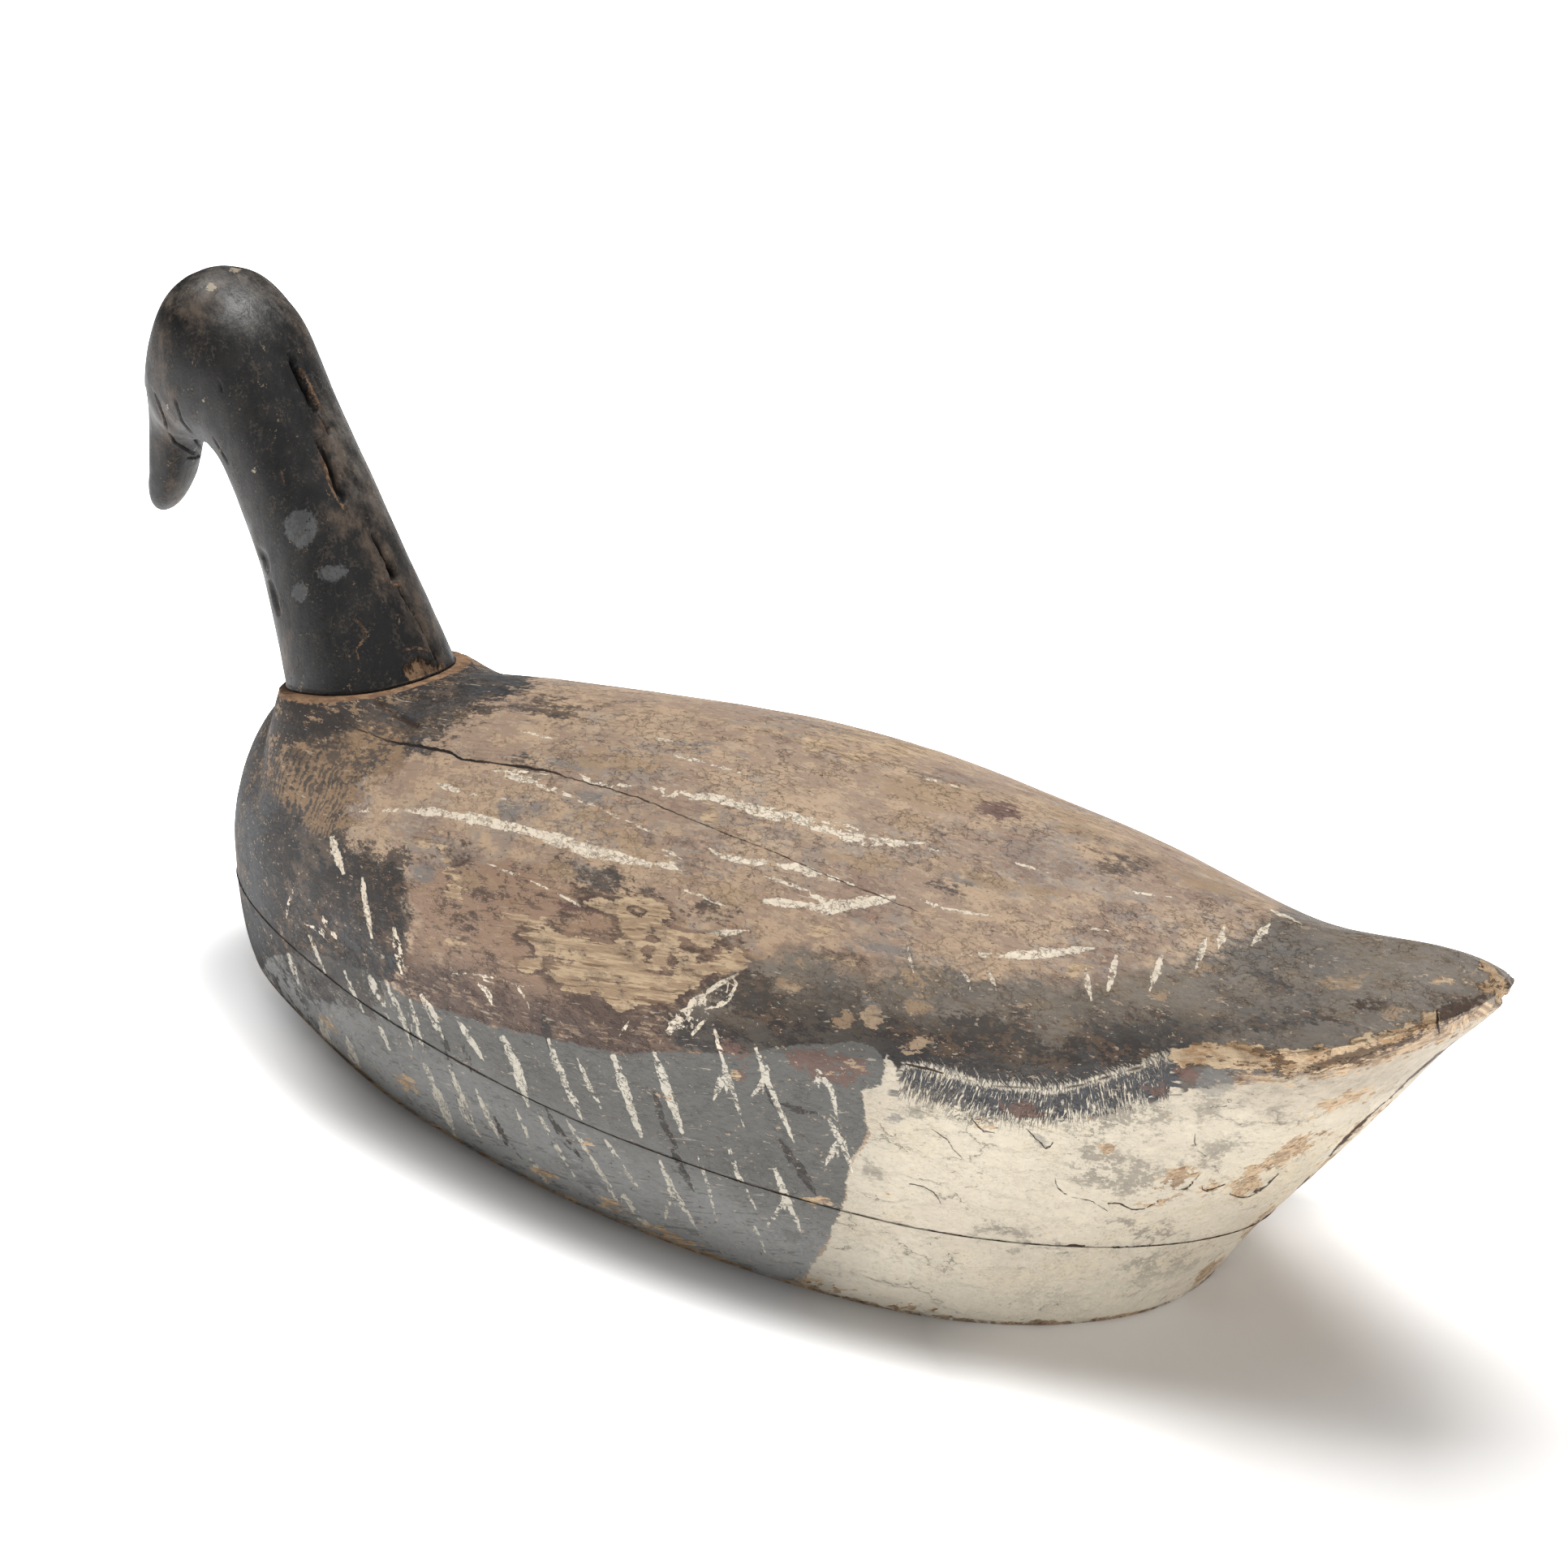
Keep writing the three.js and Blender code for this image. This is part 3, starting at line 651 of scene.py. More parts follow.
HEAD_GREY = ((370, 650, 22, 23, 0), (411, 706, 19, 11, -8), (368, 730, 11, 12, 0))
# Where the head catches the light: glossier paint there, and a painted sheen in its colour
HEAD_SHEEN = ((306, 372, 40, 34, 20), (262, 340, 40, 16, -30), (440, 560, 16, 60, -24))
HEAD_CREAM = (
    (260, 353, 6, 5, 0), (290, 332, 6, 3, 0), (250, 494, 2, 2, 0), (234, 480, 2, 1.5, 0),
    (312, 580, 2, 2.4, 0), (205, 502, 1.6, 3, 0),
)
# Rubs: worn paint, and along the back of the neck painted light where its edge catches the light
HEAD_RUBS_AND_EDGE_LIGHT = (
    (245, 376, 34, 26, -20), (262, 345, 26, 14, 0), (200, 420, 10, 60, 8), (376, 390, 14, 40, -24),
    (455, 600, 16, 90, -24), (520, 760, 18, 60, -24), (218, 606, 12, 16, 10), (205, 520, 14, 40, 0),
    (300, 340, 40, 8, 0), (470, 690, 22, 60, -24), (415, 560, 20, 60, -20), (350, 800, 10, 40, 0),
    (430, 640, 30, 20, 0), (500, 720, 14, 50, -24), (332, 360, 30, 12, 30),
)
FOOT_CHIP = ((500, 824), (514, 811), (532, 815), (547, 822), (543, 834), (506, 842))


def along_line(places, line):
    """Each place's distance to a line of pixels, the same with a sign for its side of the line,
    and the share of the line's length at its nearest point: for every piece of the line the foot
    of the perpendicular is held between the piece's ends, and the nearest foot counts."""
    line = np.asarray(line, float)
    pieces = np.diff(line, axis=0)
    lengths = np.linalg.norm(pieces, axis=1)
    passed = np.concatenate([[0], np.cumsum(lengths)])
    nearest = np.full(len(places), np.inf)
    signed = np.zeros(len(places))
    share = np.zeros(len(places))
    for start, piece, length, before in zip(line, pieces, lengths, passed):
        offset = places - start
        t = np.clip(offset @ piece / length ** 2, 0, 1)
        gap = np.linalg.norm(offset - t[:, None] * piece, axis=1)
        side = (offset[:, 0] * piece[1] - offset[:, 1] * piece[0]) / length
        closer = gap < nearest
        nearest = np.where(closer, gap, nearest)
        signed = np.where(closer, side, signed)
        share = np.where(closer, (before + t * length) / passed[-1], share)
    return nearest, signed, share


def inside(places, outline):
    """Each place's distance in from the edge of an outline, less than zero outside it: a place is
    inside when a ray from it crosses the outline an odd number of times."""
    closed = np.array([*outline, outline[0]], float)
    gap, _, _ = along_line(places, closed)
    x, y = places[:, 0], places[:, 1]
    crossed = np.zeros(len(places), bool)
    for (x0, y0), (x1, y1) in zip(closed[:-1], closed[1:]):
        spans = (y0 > y) != (y1 > y)
        crossed ^= spans & (x < x0 + (y - y0) * (x1 - x0) / (y1 - y0 + 1e-12))
    return np.where(crossed, gap, -gap)


def in_spots(places, spots):
    """Each place's distance in from the edge of the nearest of some ovals, roughly: one less the
    oval's radius there, times the oval's smaller half size."""
    best = np.full(len(places), -FAR)
    for x, y, half_length, half_height, turn in spots:
        cos, sin = np.cos(np.radians(turn)), np.sin(np.radians(turn))
        offset = places - (x, y)
        along = (offset[:, 0] * cos + offset[:, 1] * sin) / half_length
        across = (offset[:, 1] * cos - offset[:, 0] * sin) / half_height
        radius = np.hypot(along, across)
        best = np.maximum(best, (1 - radius) * min(half_length, half_height))
    return best


def strokes_at(places, strokes, taper):
    """The nearest stroke at each place: signed distance across it, half width there and plain
    distance in pixels, and its strength. The half width swells from the ends by a power of the
    half sine of the share along the stroke."""
    best = np.full(len(places), np.inf)
    across = np.full(len(places), FAR)
    half = np.zeros(len(places))
    plain = np.full(len(places), FAR)
    power = np.zeros(len(places))
    for width, strength, line in strokes:
        gap, signed, share = along_line(places, line)
        closer = gap - width < best
        best = np.where(closer, gap - width, best)
        across = np.where(closer, signed, across)
        swell = np.sin(np.pi * np.clip(share, 0.02, 0.98) ** 0.8) ** taper
        half = np.where(closer, width * swell, half)
        plain = np.where(closer, gap, plain)
        power = np.where(closer, strength, power)
    return np.stack([np.clip(across, -FAR, FAR), half, np.clip(plain, 0, FAR)], -1), power


# The turn round a section: 1 at the ridge, 0 and 2 at the widest line, -1 and 3 at the keel
SEEN_PAST_RIDGE = 0.26
SEEN_PAST_KEEL = 0.5


def paint_turn(share, turn):
    """Where on the side that the photograph shows a point takes its paint from. The left side and
    what shows past the ridge and, near the tail, past the keel keep their own place. The rest of
    the right side takes the left side's paint, turned over, with widest line on widest line."""
    past_keel = SEEN_PAST_KEEL * (1 - smooth_step(share, 0.2, 0.42))
    top_end = 1 + SEEN_PAST_RIDGE
    low_start = 3 - past_keel
    upper = top_end * (2 - turn) / (2 - top_end)
    lower = -(turn - 2) / (low_start - 2) * (1 + past_keel)
    moved = np.where(turn < 2, upper, lower)
    return np.where((turn > top_end) & (turn < low_start), moved, turn)


def turned_point(share, turn):
    """The body's surface at a turn: the left half as it is, the right half mirrored."""
    turn = np.where(turn < -1, turn + 4, turn)
    right = turn > 1
    level = np.where(right, 2 - turn, turn)
    return body_point(share, level) * np.where(right[..., None], [1, -1, 1], [1, 1, 1])


def body_fields(share, turn, points):
    """The paint and wear that the photograph shows at each vertex: distances in from the borders
    of the painted areas and the spots, the nearest strokes and cracks, in millimetres."""
    hidden = smooth_step(np.abs(turn - 2), 1.0, 0.6)
    drift = 0.008 * hidden * noise(points, 60 * MM, 3)
    seen_from = turned_point(np.clip(share + drift, 0, 1), paint_turn(share, turn))
    places, pixel = photo_place(seen_from)
    to_mm = (pixel / MM)[:, None]
    areas = np.stack([inside(places, GREY_PANEL), inside(places, STERN), inside(places, BREAST)], -1)
    tones = np.stack([inside(places, TAIL), inside(places, FLANK), in_spots(places, DARK_SPOTS_AND_LIP_SHADOW)], -1)
    bare = np.maximum(in_spots(places, BARE_SPOTS), inside(places, BARE_EDGE))
    spots = np.stack([bare, in_spots(places, SMUDGES), in_spots(places, RED_SPOTS)], -1)
    flakes = np.stack([in_spots(places, OCHRE_SPOTS), in_spots(places, BLUE_SPOTS),
                       in_spots(places, RIPPLED)], -1)
    wood_patch = np.minimum(inside(places, WOOD_PATCH), -in_spots(places, LEFT_ON))
    patches = np.stack([wood_patch, in_spots(places, RUBBED), in_spots(places, BLACKENED)], -1)
    cream, cream_power = strokes_at(places, BACK_STROKES + TICKS, 0.35)
    dark, dark_power = strokes_at(places, DARK_TICKS, 0.5)
    crack, crack_power = strokes_at(places, BODY_CRACKS, 0.3)
    gap, signed, along = along_line(places, FRINGE_TOP)
    fringe = np.stack([along * FRINGE_LENGTH, -signed, gap], -1)
    torn = np.maximum(inside(places, TORN_BAND), inside(places, TORN_TIP))
    power = np.stack([cream_power, dark_power, crack_power], -1)
    gouge, _, _ = along_line(places, GOUGE)
    rim, _ = seat_radius(points[:, 0], points[:, 1])
    rim = np.where(turn < 0, FAR, rim / MM)
    marks = np.stack([torn * to_mm[:, 0], rim, gouge * to_mm[:, 0]], -1)
    in_pixels = dict(areas=areas, tones=tones, spots=spots, flakes=flakes, patches=patches, cream=cream,
                     dark=dark, crack=crack, fringe=fringe)
    return dict({name: values * to_mm for name, values in in_pixels.items()}, power=power, marks=marks)


# How deep the body is worn: hand-carved hollows and facets, the drying crack, the gouge, bare
# wood below the paint, and the rim of the neck seat
HOLLOWS = 0.22 * MM
FACETS = 0.10 * MM
CRACKED = 1.0 * MM
GOUGED = 1.8 * MM
BARED = 0.2 * MM
RIM_WORN = 0.4 * MM
# How far from an edge it is eased and the foot is chipped, and how deep
EASED_REACH = 0.7 * MM
EASED_DEPTH = 0.25 * MM
FOOT_REACH = 1.8 * MM
FOOT_CHIP_DEPTH = 1.2 * MM


def body_wear(points, fields):
    """How far the wood is worn or carved away at each vertex: broad hand-carved hollows, the torn
    tail edge, the drying crack and gouge, bare patches a little lower than paint and the rounded
    rim of the neck seat."""
    depth = HOLLOWS * (1 + noise(points, 26 * MM, 11))
    depth += FACETS * (1 + noise(points * (0.35, 1, 1), 6 * MM, 12))
    torn = fields["marks"][:, 0]
    chips = noise(points * (0.25, 1, 1), 3.2 * MM, 13)
    splinter = noise(points * (0.12, 1, 1), 1.3 * MM, 14)
    ragged = torn + 1.6 * noise(points * (0.3, 1, 1), 6 * MM, 16) + 0.8 * chips
    torn_away = np.clip(1.0 + 1.2 * chips + 0.5 * splinter, 0, None)
    depth += smooth_step(ragged, -0.2, 1.4) * MM * torn_away
    gap = np.abs(fields["crack"][:, 0])
    near = fields["crack"][:, 2]
    cut = np.exp(-(gap / 0.8) ** 2) * (near < 3) * fields["power"][:, 2]
    depth += CRACKED * cut * np.clip(fields["crack"][:, 1] * 2, 0, 1)
    depth += GOUGED * np.exp(-(fields["marks"][:, 2] / 1.3) ** 2)
    bare = np.maximum(fields["spots"][:, 0], fields["patches"][:, 0])
    bare = bare + 1.5 * noise(points * (0.5, 1, 1), 5 * MM, 17)
    depth += BARED * smooth_step(bare, -0.4, 0.8)
    rim = fields["marks"][:, 1]
    depth += RIM_WORN * np.exp(-((rim - 0.3) / 1.0) ** 2) * (1 + 0.5 * noise(points, 5 * MM, 15))
    return depth


def eased_edge(points, height, reach, amount):
    """How far an edge at a height is worn in: the square of the share of the reach left to it."""
    share = np.clip(1 - np.abs(points[:, 2] - height) / reach, 0, 1)
    return amount * share ** 2


# Rows along a block, and columns round its left side: below and above the widest line, round the
# board, and from an edge to the middle of a flat face
ROWS = 440
UPPER_COLUMNS = (29, 93)
BOARD_COLUMNS = 37
FLAT_COLUMNS = 7


def flat_face(start, end):
    """Points across a flat face from one edge to the middle and on to the other edge, without the
    edges: the height stays and the distance from the middle shrinks by even steps."""
    part = np.linspace(0, 1, FLAT_COLUMNS + 1)[:-1, None]
    inward = start[:, None] * (1, 0, 1) + part[::-1] * start[:, None] * (0, 1, 0)
    outward = end[:, None] * (1, 0, 1) + part[1:] * end[:, None] * (0, 1, 0)
    return [inward, outward]


def body_block(share, left, top_flat):
    """One block of the carved body, from the turns of its sections' left half: a flat face below
    and, if it has one, above, and every second turn on the right side, which the photograph does
    not show. Rows run from the tail to the breast. Where the tail ends in an upright edge, the
    left side keeps only the turns that the right side has."""
    left = left.copy()
    left[0, 1::2] = left[0, :-1:2]
    right = left[:, ::2]
    left_points = body_point(share[:, None], left)
    right_points = body_point(share[:, None], right) * (1, -1, 1)
    crown = 1 if top_flat else 2
    rows = [left_points, right_points[:, -crown::-1], *flat_face(right_points[:, 0], left_points[:, 0])]
    turns = [left, 2 - right[:, -crown::-1], np.repeat(2 - right[:, :1], FLAT_COLUMNS, 1),
             np.repeat(left[:, :1], FLAT_COLUMNS - 1, 1)]
    if top_flat:
        rows[1:1] = flat_face(left_points[:, -1], right_points[:, -1])
        turns[1:1] = [np.repeat(left[:, -1:], FLAT_COLUMNS, 1),
                      np.repeat(2 - right[:, -1:], FLAT_COLUMNS - 1, 1)]
    grid = np.concatenate(rows, 1)
    turn = np.concatenate(turns, 1)
    points, faces, first = welded(grid)
    turn = turn.ravel()[first]
    along = np.repeat(share, grid.shape[1])[first]
    normals = vertex_normals(points, faces)
    fields = body_fields(along, turn, points)
    depth = body_wear(points, fields)
    return points, faces, normals, fields, depth


NOISE_MEAN = 0.5


class Wire:
    """An output in a material. Sums, differences and products of wires and numbers add Math
    nodes."""

    def __init__(self, finish, socket):
        self.finish = finish
        self.socket = socket

    def other(self, name):
        """Another output of the same node."""
        return Wire(self.finish, self.socket.node.outputs[name])

    def swing(self, reach):
        """A noise's swing about its mean, times a reach."""
        return (self - NOISE_MEAN) * reach

    def __add__(self, value):
        return self.finish.maths("ADD", self, value)

    __radd__ = __add__

    def __sub__(self, value):
        return self.finish.maths("SUBTRACT", self, value)

    def __rsub__(self, value):
        return self.finish.maths("SUBTRACT", value, self)

    def __mul__(self, value):
        return self.finish.maths("MULTIPLY", self, value)

    __rmul__ = __mul__

    def __abs__(self):
        return self.finish.maths("ABSOLUTE", self)


class Finish:
    """A material and the making of its nodes."""

    def __init__(self, name):
        self.material = bpy.data.materials.new(name)
        self.material.use_nodes = True
        self.tree = self.material.node_tree
        self.shader = self.tree.nodes["Principled BSDF"]
        self.place = self.add("TexCoord", output="Object")

    def add(self, kind, settings=None, inputs=None, output=0):
        """A node of that kind with its settings and then its inputs, as the wire of an output."""
        node = self.tree.nodes.new("ShaderNode" + kind)
        for name, value in (settings or {}).items():
            setattr(node, name, value)
        for name, value in (inputs or {}).items():
            self.feed(node.inputs[name], value)
        return Wire(self, node.outputs[output])

    def feed(self, socket, value):
        if isinstance(value, Wire):
            self.tree.links.new(value.socket, socket)
        else:
            socket.default_value = value

    def maths(self, operation, *values):
        return self.add("Math", {"operation": operation}, dict(enumerate(values)))

    def vector(self, operation, *values, output=0):
        return self.add("VectorMath", {"operation": operation}, dict(enumerate(values)), output)

    def clamp(self, value):
        return self.add("Math", {"operation": "ADD", "use_clamp": True}, {0: value, 1: 0})

    def most(self, a, b):
        return self.maths("MAXIMUM", a, b)

    def step(self, value, start, end):
        """0 before start, 1 after end, smooth between. The ends may be the other way round."""
        return self.add("MapRange", {"interpolation_type": "SMOOTHSTEP"},
                        {"Value": value, "From Min": start, "From Max": end})

    def mix(self, under, over, share, blend_type="MIX"):
        """The colour under covered by the colour over, as far as the share says."""
        return self.add("Mix", {"data_type": "RGBA", "blend_type": blend_type},
                        {0: share, 6: under, 7: over}, 2)

    def joined(self, *values):
        return self.add("CombineXYZ", None, dict(enumerate(values)))

    def grey_of(self, value):
        return self.add("CombineColor", None, {0: value, 1: value, 2: value})

    def parts(self, vector):
        split = self.add("SeparateXYZ", None, {0: vector})
        return split, split.other("Y"), split.other("Z")

    def stretched(self, x, y, z):
        return self.vector("MULTIPLY", self.place, (x, y, z))

    def noises(self, place, scale, detail, roughness=0.6):
        """Three separate noises of one scale."""
        return self.parts(self.add("TexNoise", None, {"Vector": place, "Scale": scale, "Detail": detail,
                                                      "Roughness": roughness}, "Color"))

    def field(self, name):
        """The three values of a vertex attribute."""
        return self.parts(self.add("Attribute", {"attribute_name": name}, None, "Vector"))

    def cells(self, place, scale, feature="DISTANCE_TO_EDGE", output="Distance"):
        return self.add("TexVoronoi", {"feature": feature}, {"Vector": place, "Scale": scale}, output)

    def bump(self, height, distance):
        return self.add("Bump", None, {"Height": height, "Distance": distance})

    def finished(self, **sockets):
        for name, value in sockets.items():
            self.feed(self.shader.inputs[name.replace("_", " ")], value)
        return self.material


def srgb(red, green, blue):
    """A colour as it is read off a screen, 0 to 255, as the linear values that a material takes."""
    share = np.array([red, green, blue]) / 255
    linear = np.where(share <= 0.04045, share / 12.92, ((share + 0.055) / 1.055) ** 2.4)
    return (*linear.tolist(), 1.0)


# Colours of the wood, the paints and what wear has left, and of painted light and shade
WOOD_LIGHT = srgb(199, 174, 143)
WOOD_DARK = srgb(168, 143, 116)
WOOD_GREY = srgb(150, 130, 110)
WOOD_LINE = srgb(112, 88, 68)
TORN_PALE = srgb(204, 180, 149)
TORN_ORANGE = srgb(172, 140, 106)
BACK_TAUPE = srgb(163, 139, 120)
BACK_OCHRE = srgb(187, 161, 134)
BACK_GREY = srgb(155, 140, 127)
BACK_RED = srgb(132, 107, 94)
SHOULDER_GREY = srgb(120, 107, 97)
BACK_PALE = srgb(188, 166, 142)
UMBER = srgb(156, 129, 108)
UMBER_DARK = srgb(84, 68, 60)
UMBER_LOW = srgb(76, 61, 55)
UMBER_OCHRE = srgb(150, 122, 96)
SOOT = srgb(56, 51, 48)
SOOT_BROWN = srgb(104, 84, 68)
SOOT_BLUE = srgb(90, 92, 92)
BREAST_BLACK = srgb(53, 53, 54)
BREAST_GREY = srgb(74, 75, 77)
BREAST_BROWN = srgb(104, 90, 78)
RUBBED_OCHRE = srgb(154, 127, 99)
TAIL_GREY = srgb(130, 121, 110)
TAIL_DARK = srgb(108, 101, 93)
RUMP_BLUE = srgb(88, 87, 86)
TAIL_OCHRE = srgb(134, 118, 97)
PANEL_GREY = srgb(102, 101, 97)
PANEL_PAINTED_LIGHT = srgb(147, 147, 145)
PANEL_DARK = srgb(80, 79, 77)
CREAM = srgb(209, 199, 180)
CREAM_WARM = srgb(210, 195, 169)
CREAM_DULL = srgb(198, 187, 170)
CREAM_SHADED = srgb(171, 160, 144)
CREAM_GREYED = srgb(170, 163, 150)
CREAM_PAINTED_LIGHT = srgb(238, 229, 211)
CRACK_BROWN = srgb(74, 57, 46)
SMUDGE = srgb(146, 138, 126)
OCHRE_FLAKE = srgb(168, 142, 113)
BLUE_FLAKE = srgb(120, 119, 117)
RED_BROWN = srgb(110, 86, 77)
STROKE_CREAM = srgb(236, 222, 200)
TICK_WHITE = srgb(212, 205, 190)
COMB_SHADE = srgb(56, 55, 55)
COMB_DARK = srgb(72, 73, 77)
DEEP_SHADE = srgb(34, 27, 23)
RIM_TAN = srgb(158, 126, 96)
RIM_BROWN = srgb(124, 96, 74)
HEAD_BLACK = srgb(21, 21, 21)
HEAD_CHARCOAL = srgb(33, 31, 30)
HEAD_GRAIN = srgb(26, 25, 25)
HEAD_DUST = srgb(70, 61, 53)
HEAD_BROWN = srgb(88, 75, 64)
HEAD_CURL = srgb(74, 66, 58)
HEAD_PAINTED_SHEEN = srgb(112, 111, 108)
HEAD_PUTTY = srgb(90, 91, 91)
HEAD_CREAM_DROP = srgb(160, 148, 128)
HEAD_SPECK = srgb(120, 104, 86)
SPLIT_LIGHT = srgb(112, 88, 66)
SPLIT_DARK = srgb(66, 50, 39)
SPLIT_SHADE = srgb(14, 12, 11)
CHIP_WOOD = srgb(150, 120, 92)


class BodyFinish(Finish):
    """The body's finish, with what its layers share: noises, the fields of the vertices and the
    cover of each area. A field is a distance in millimetres, more than zero inside its area."""

    def __init__(self, name):
        super().__init__(name)
        self.share_noises()
        self.share_fields()
        self.share_covers()

    def share_noises(self):
        """Noises from broad patches down to single fibres, which run along the body."""
        self.x, self.y, self.z = self.parts(self.place)
        x, y, z = self.x, self.y, self.z
        level = z + x * 0.2 - x * x * 0.25
        grained = self.stretched(0.45, 1, 1)
        self.broad = self.noises(self.stretched(0.7, 1, 1), 30, 5)
        self.patch = self.noises(grained, 150, 7, 0.7)
        self.fray = self.noises(self.stretched(0.6, 1, 1), 300, 5, 0.62)
        self.dry = self.noises(self.stretched(0.7, 1, 1), 420, 4)
        self.fine = self.noises(grained, 700, 4, 0.65)
        self.grain = self.noises(self.joined(x * 20, y * 420, level * 420), 1, 5, 0.65)
        self.streak = self.noises(self.joined(x * 60, y * 900, level * 900), 1, 3, 0.55)
        bent = self.add("VectorMath", {"operation": "SCALE"}, {0: self.joined(*self.patch), "Scale": 0.014})
        flake_place = self.vector("ADD", self.stretched(0.6, 1, 1), bent)
        self.wide_cells = self.cells(self.vector("MULTIPLY", flake_place, (0.7, 1, 1.5)), 62)
        self.small_cells = self.cells(flake_place, 260)
        chunk_place = self.vector("ADD", self.stretched(0.8, 1, 1), bent)
        self.chunk = self.parts(self.cells(chunk_place, 300, "F1", "Color"))
        self.between_chunks = self.step(self.cells(chunk_place, 300), 0.05, 0.02)
        self.topmost = self.flaked(self.patch[0] * 0.65 + self.broad[2] * 0.35, self.fine[0], 0.49)
        self.brown_flake = self.flaked(self.patch[1] * 0.6 + self.broad[0] * 0.4, self.fine[2], 0.56)

    def share_fields(self):
        self.grey, self.stern, self.breast = self.field("areas")
        self.tail, self.flank, self.dark_spot_and_lip_shadow = self.field("tones")
        self.bare, self.smudge, self.red = self.field("spots")
        self.ochre, self.blue, self.rippled = self.field("flakes")
        self.torn, self.rim, self.gouge = self.field("marks")
        self.wood_patch, self.rub, self.black = self.field("patches")
        self.cream_power, self.dark_power, self.crack_power = self.field("power")
        self.along, self.across, self.from_line = self.field("fringe")

    def share_covers(self):
        """How far each layer covers what is under it, from 0 to 1."""
        patch, fine, grain, fray = self.patch, self.fine, self.grain, self.fray
        ripple_place = self.joined(self.x + self.broad[0].swing(0.03), self.y * 0.12, self.z * 0.1)
        self.ripple = self.add("TexWave", {"bands_direction": "X"}, {
            "Vector": ripple_place, "Scale": 100, "Distortion": 4.0, "Detail": 3}, "Fac")
        self.waved = self.step(self.rippled + patch[1].swing(30), 0, 9)
        self.breast_cover = self.ragged(self.breast, 12, 5, 1.6)
        self.flank_cover = self.ragged(self.flank, 12, 3, 4)
        self.grey_cover = self.ragged(self.grey, 1.6, 1.0, 0.4)
        blackened = self.step(self.black + patch[1].swing(26) + fine[0].swing(12), -0.5, 1.5)
        self.blackened = blackened * self.step(patch[2] + fine[1].swing(0.5), 0.64, 0.56)
        self.torn_cover = self.step(self.torn + patch[1].swing(9) + grain[1].swing(8), -0.2, 0.3)
        self.rim_cover = self.step(self.rim + patch[1].swing(5) + fine[0].swing(2), 1.0, 0.6)
        self.gouge_cover = self.step(self.gouge + fine[0].swing(4) + patch[0].swing(5), 0.9, 0.5)
        self.edge = self.noises(self.joined(self.x * 130, self.torn * 0.6, 0), 1, 5, 0.65)
        # The pits of the torn wood: dents in the bump, and darker colour as painted shade
        self.pits_with_painted_shade = self.step(self.edge[1] * 0.6 + patch[2] * 0.6 + fray[0] * 0.3, 0.8, 0.86)
        self.crackle = self.step(self.wide_cells, 0.011, 0.003) * self.step(
            self.broad[1] + patch[1].swing(0.9), 0.56, 0.6)

    def ragged(self, distance, patch_mm, fine_mm, soft):
        """An area's cover from the distance in from its edge, frayed by noise."""
        frayed = distance + self.patch[0].swing(3 * patch_mm) + self.fine[1].swing(3 * fine_mm)
        return self.step(frayed, -soft, soft)

    def flaked(self, noise, other, limit):
        """Flakes with crisp edges where a noise, stirred by another, passes a limit."""
        return self.step(noise + other.swing(0.35), limit - 0.012, limit + 0.012)

    def brushed(self, name, power, rough):
        """The cover of the nearest brush stroke, frayed at the sides and broken by the grain."""
        side, half, plain = self.field(name)
        frayed = half * (1.05 + self.chunk[0].swing(rough)) - abs(side) + self.dry[0].swing(1.6)
        held = self.step(plain - half, 1.5, 0.8) * self.step(half, 0.02, 0.15)
        kept = self.step(self.chunk[1] * 0.3 + self.fray[1] * 0.7 + power * 0.4, 0.72, 0.75)
        broken = 1 - self.between_chunks * self.step(self.chunk[2], 0.3, 0.5)
        return self.step(frayed, -0.08, 0.08) * held * kept * broken


def bare_wood(f):
    """Old wood: light and dark grain, greyed in patches and on the wing and rump, with dark
    fibres, and along the torn tail edge in bands of its own."""
    wood = f.mix(WOOD_DARK, WOOD_LIGHT, f.step(f.grain[0] + f.streak[1].swing(0.6), 0.42, 0.58))
    wood = f.mix(wood, WOOD_GREY, f.step(f.patch[1], 0.5, 0.6) * 0.7)
    wood = f.mix(wood, WOOD_LINE, f.step(f.streak[0] + f.grain[1].swing(0.7), 0.575, 0.635) * 0.7)
    wood = f.mix(wood, WOOD_GREY, f.step(f.tail, -2, 4) * f.step(f.stern, 1, -1) * 0.65)
    edge = f.mix(WOOD_GREY, WOOD_LIGHT, f.step(f.edge[0], 0.42, 0.58))
    edge = f.mix(edge, WOOD_LINE, f.step(f.edge[1] + f.patch[0].swing(0.5), 0.56, 0.62) * 0.8)
    return f.mix(wood, edge, f.step(f.torn, -16, -10))


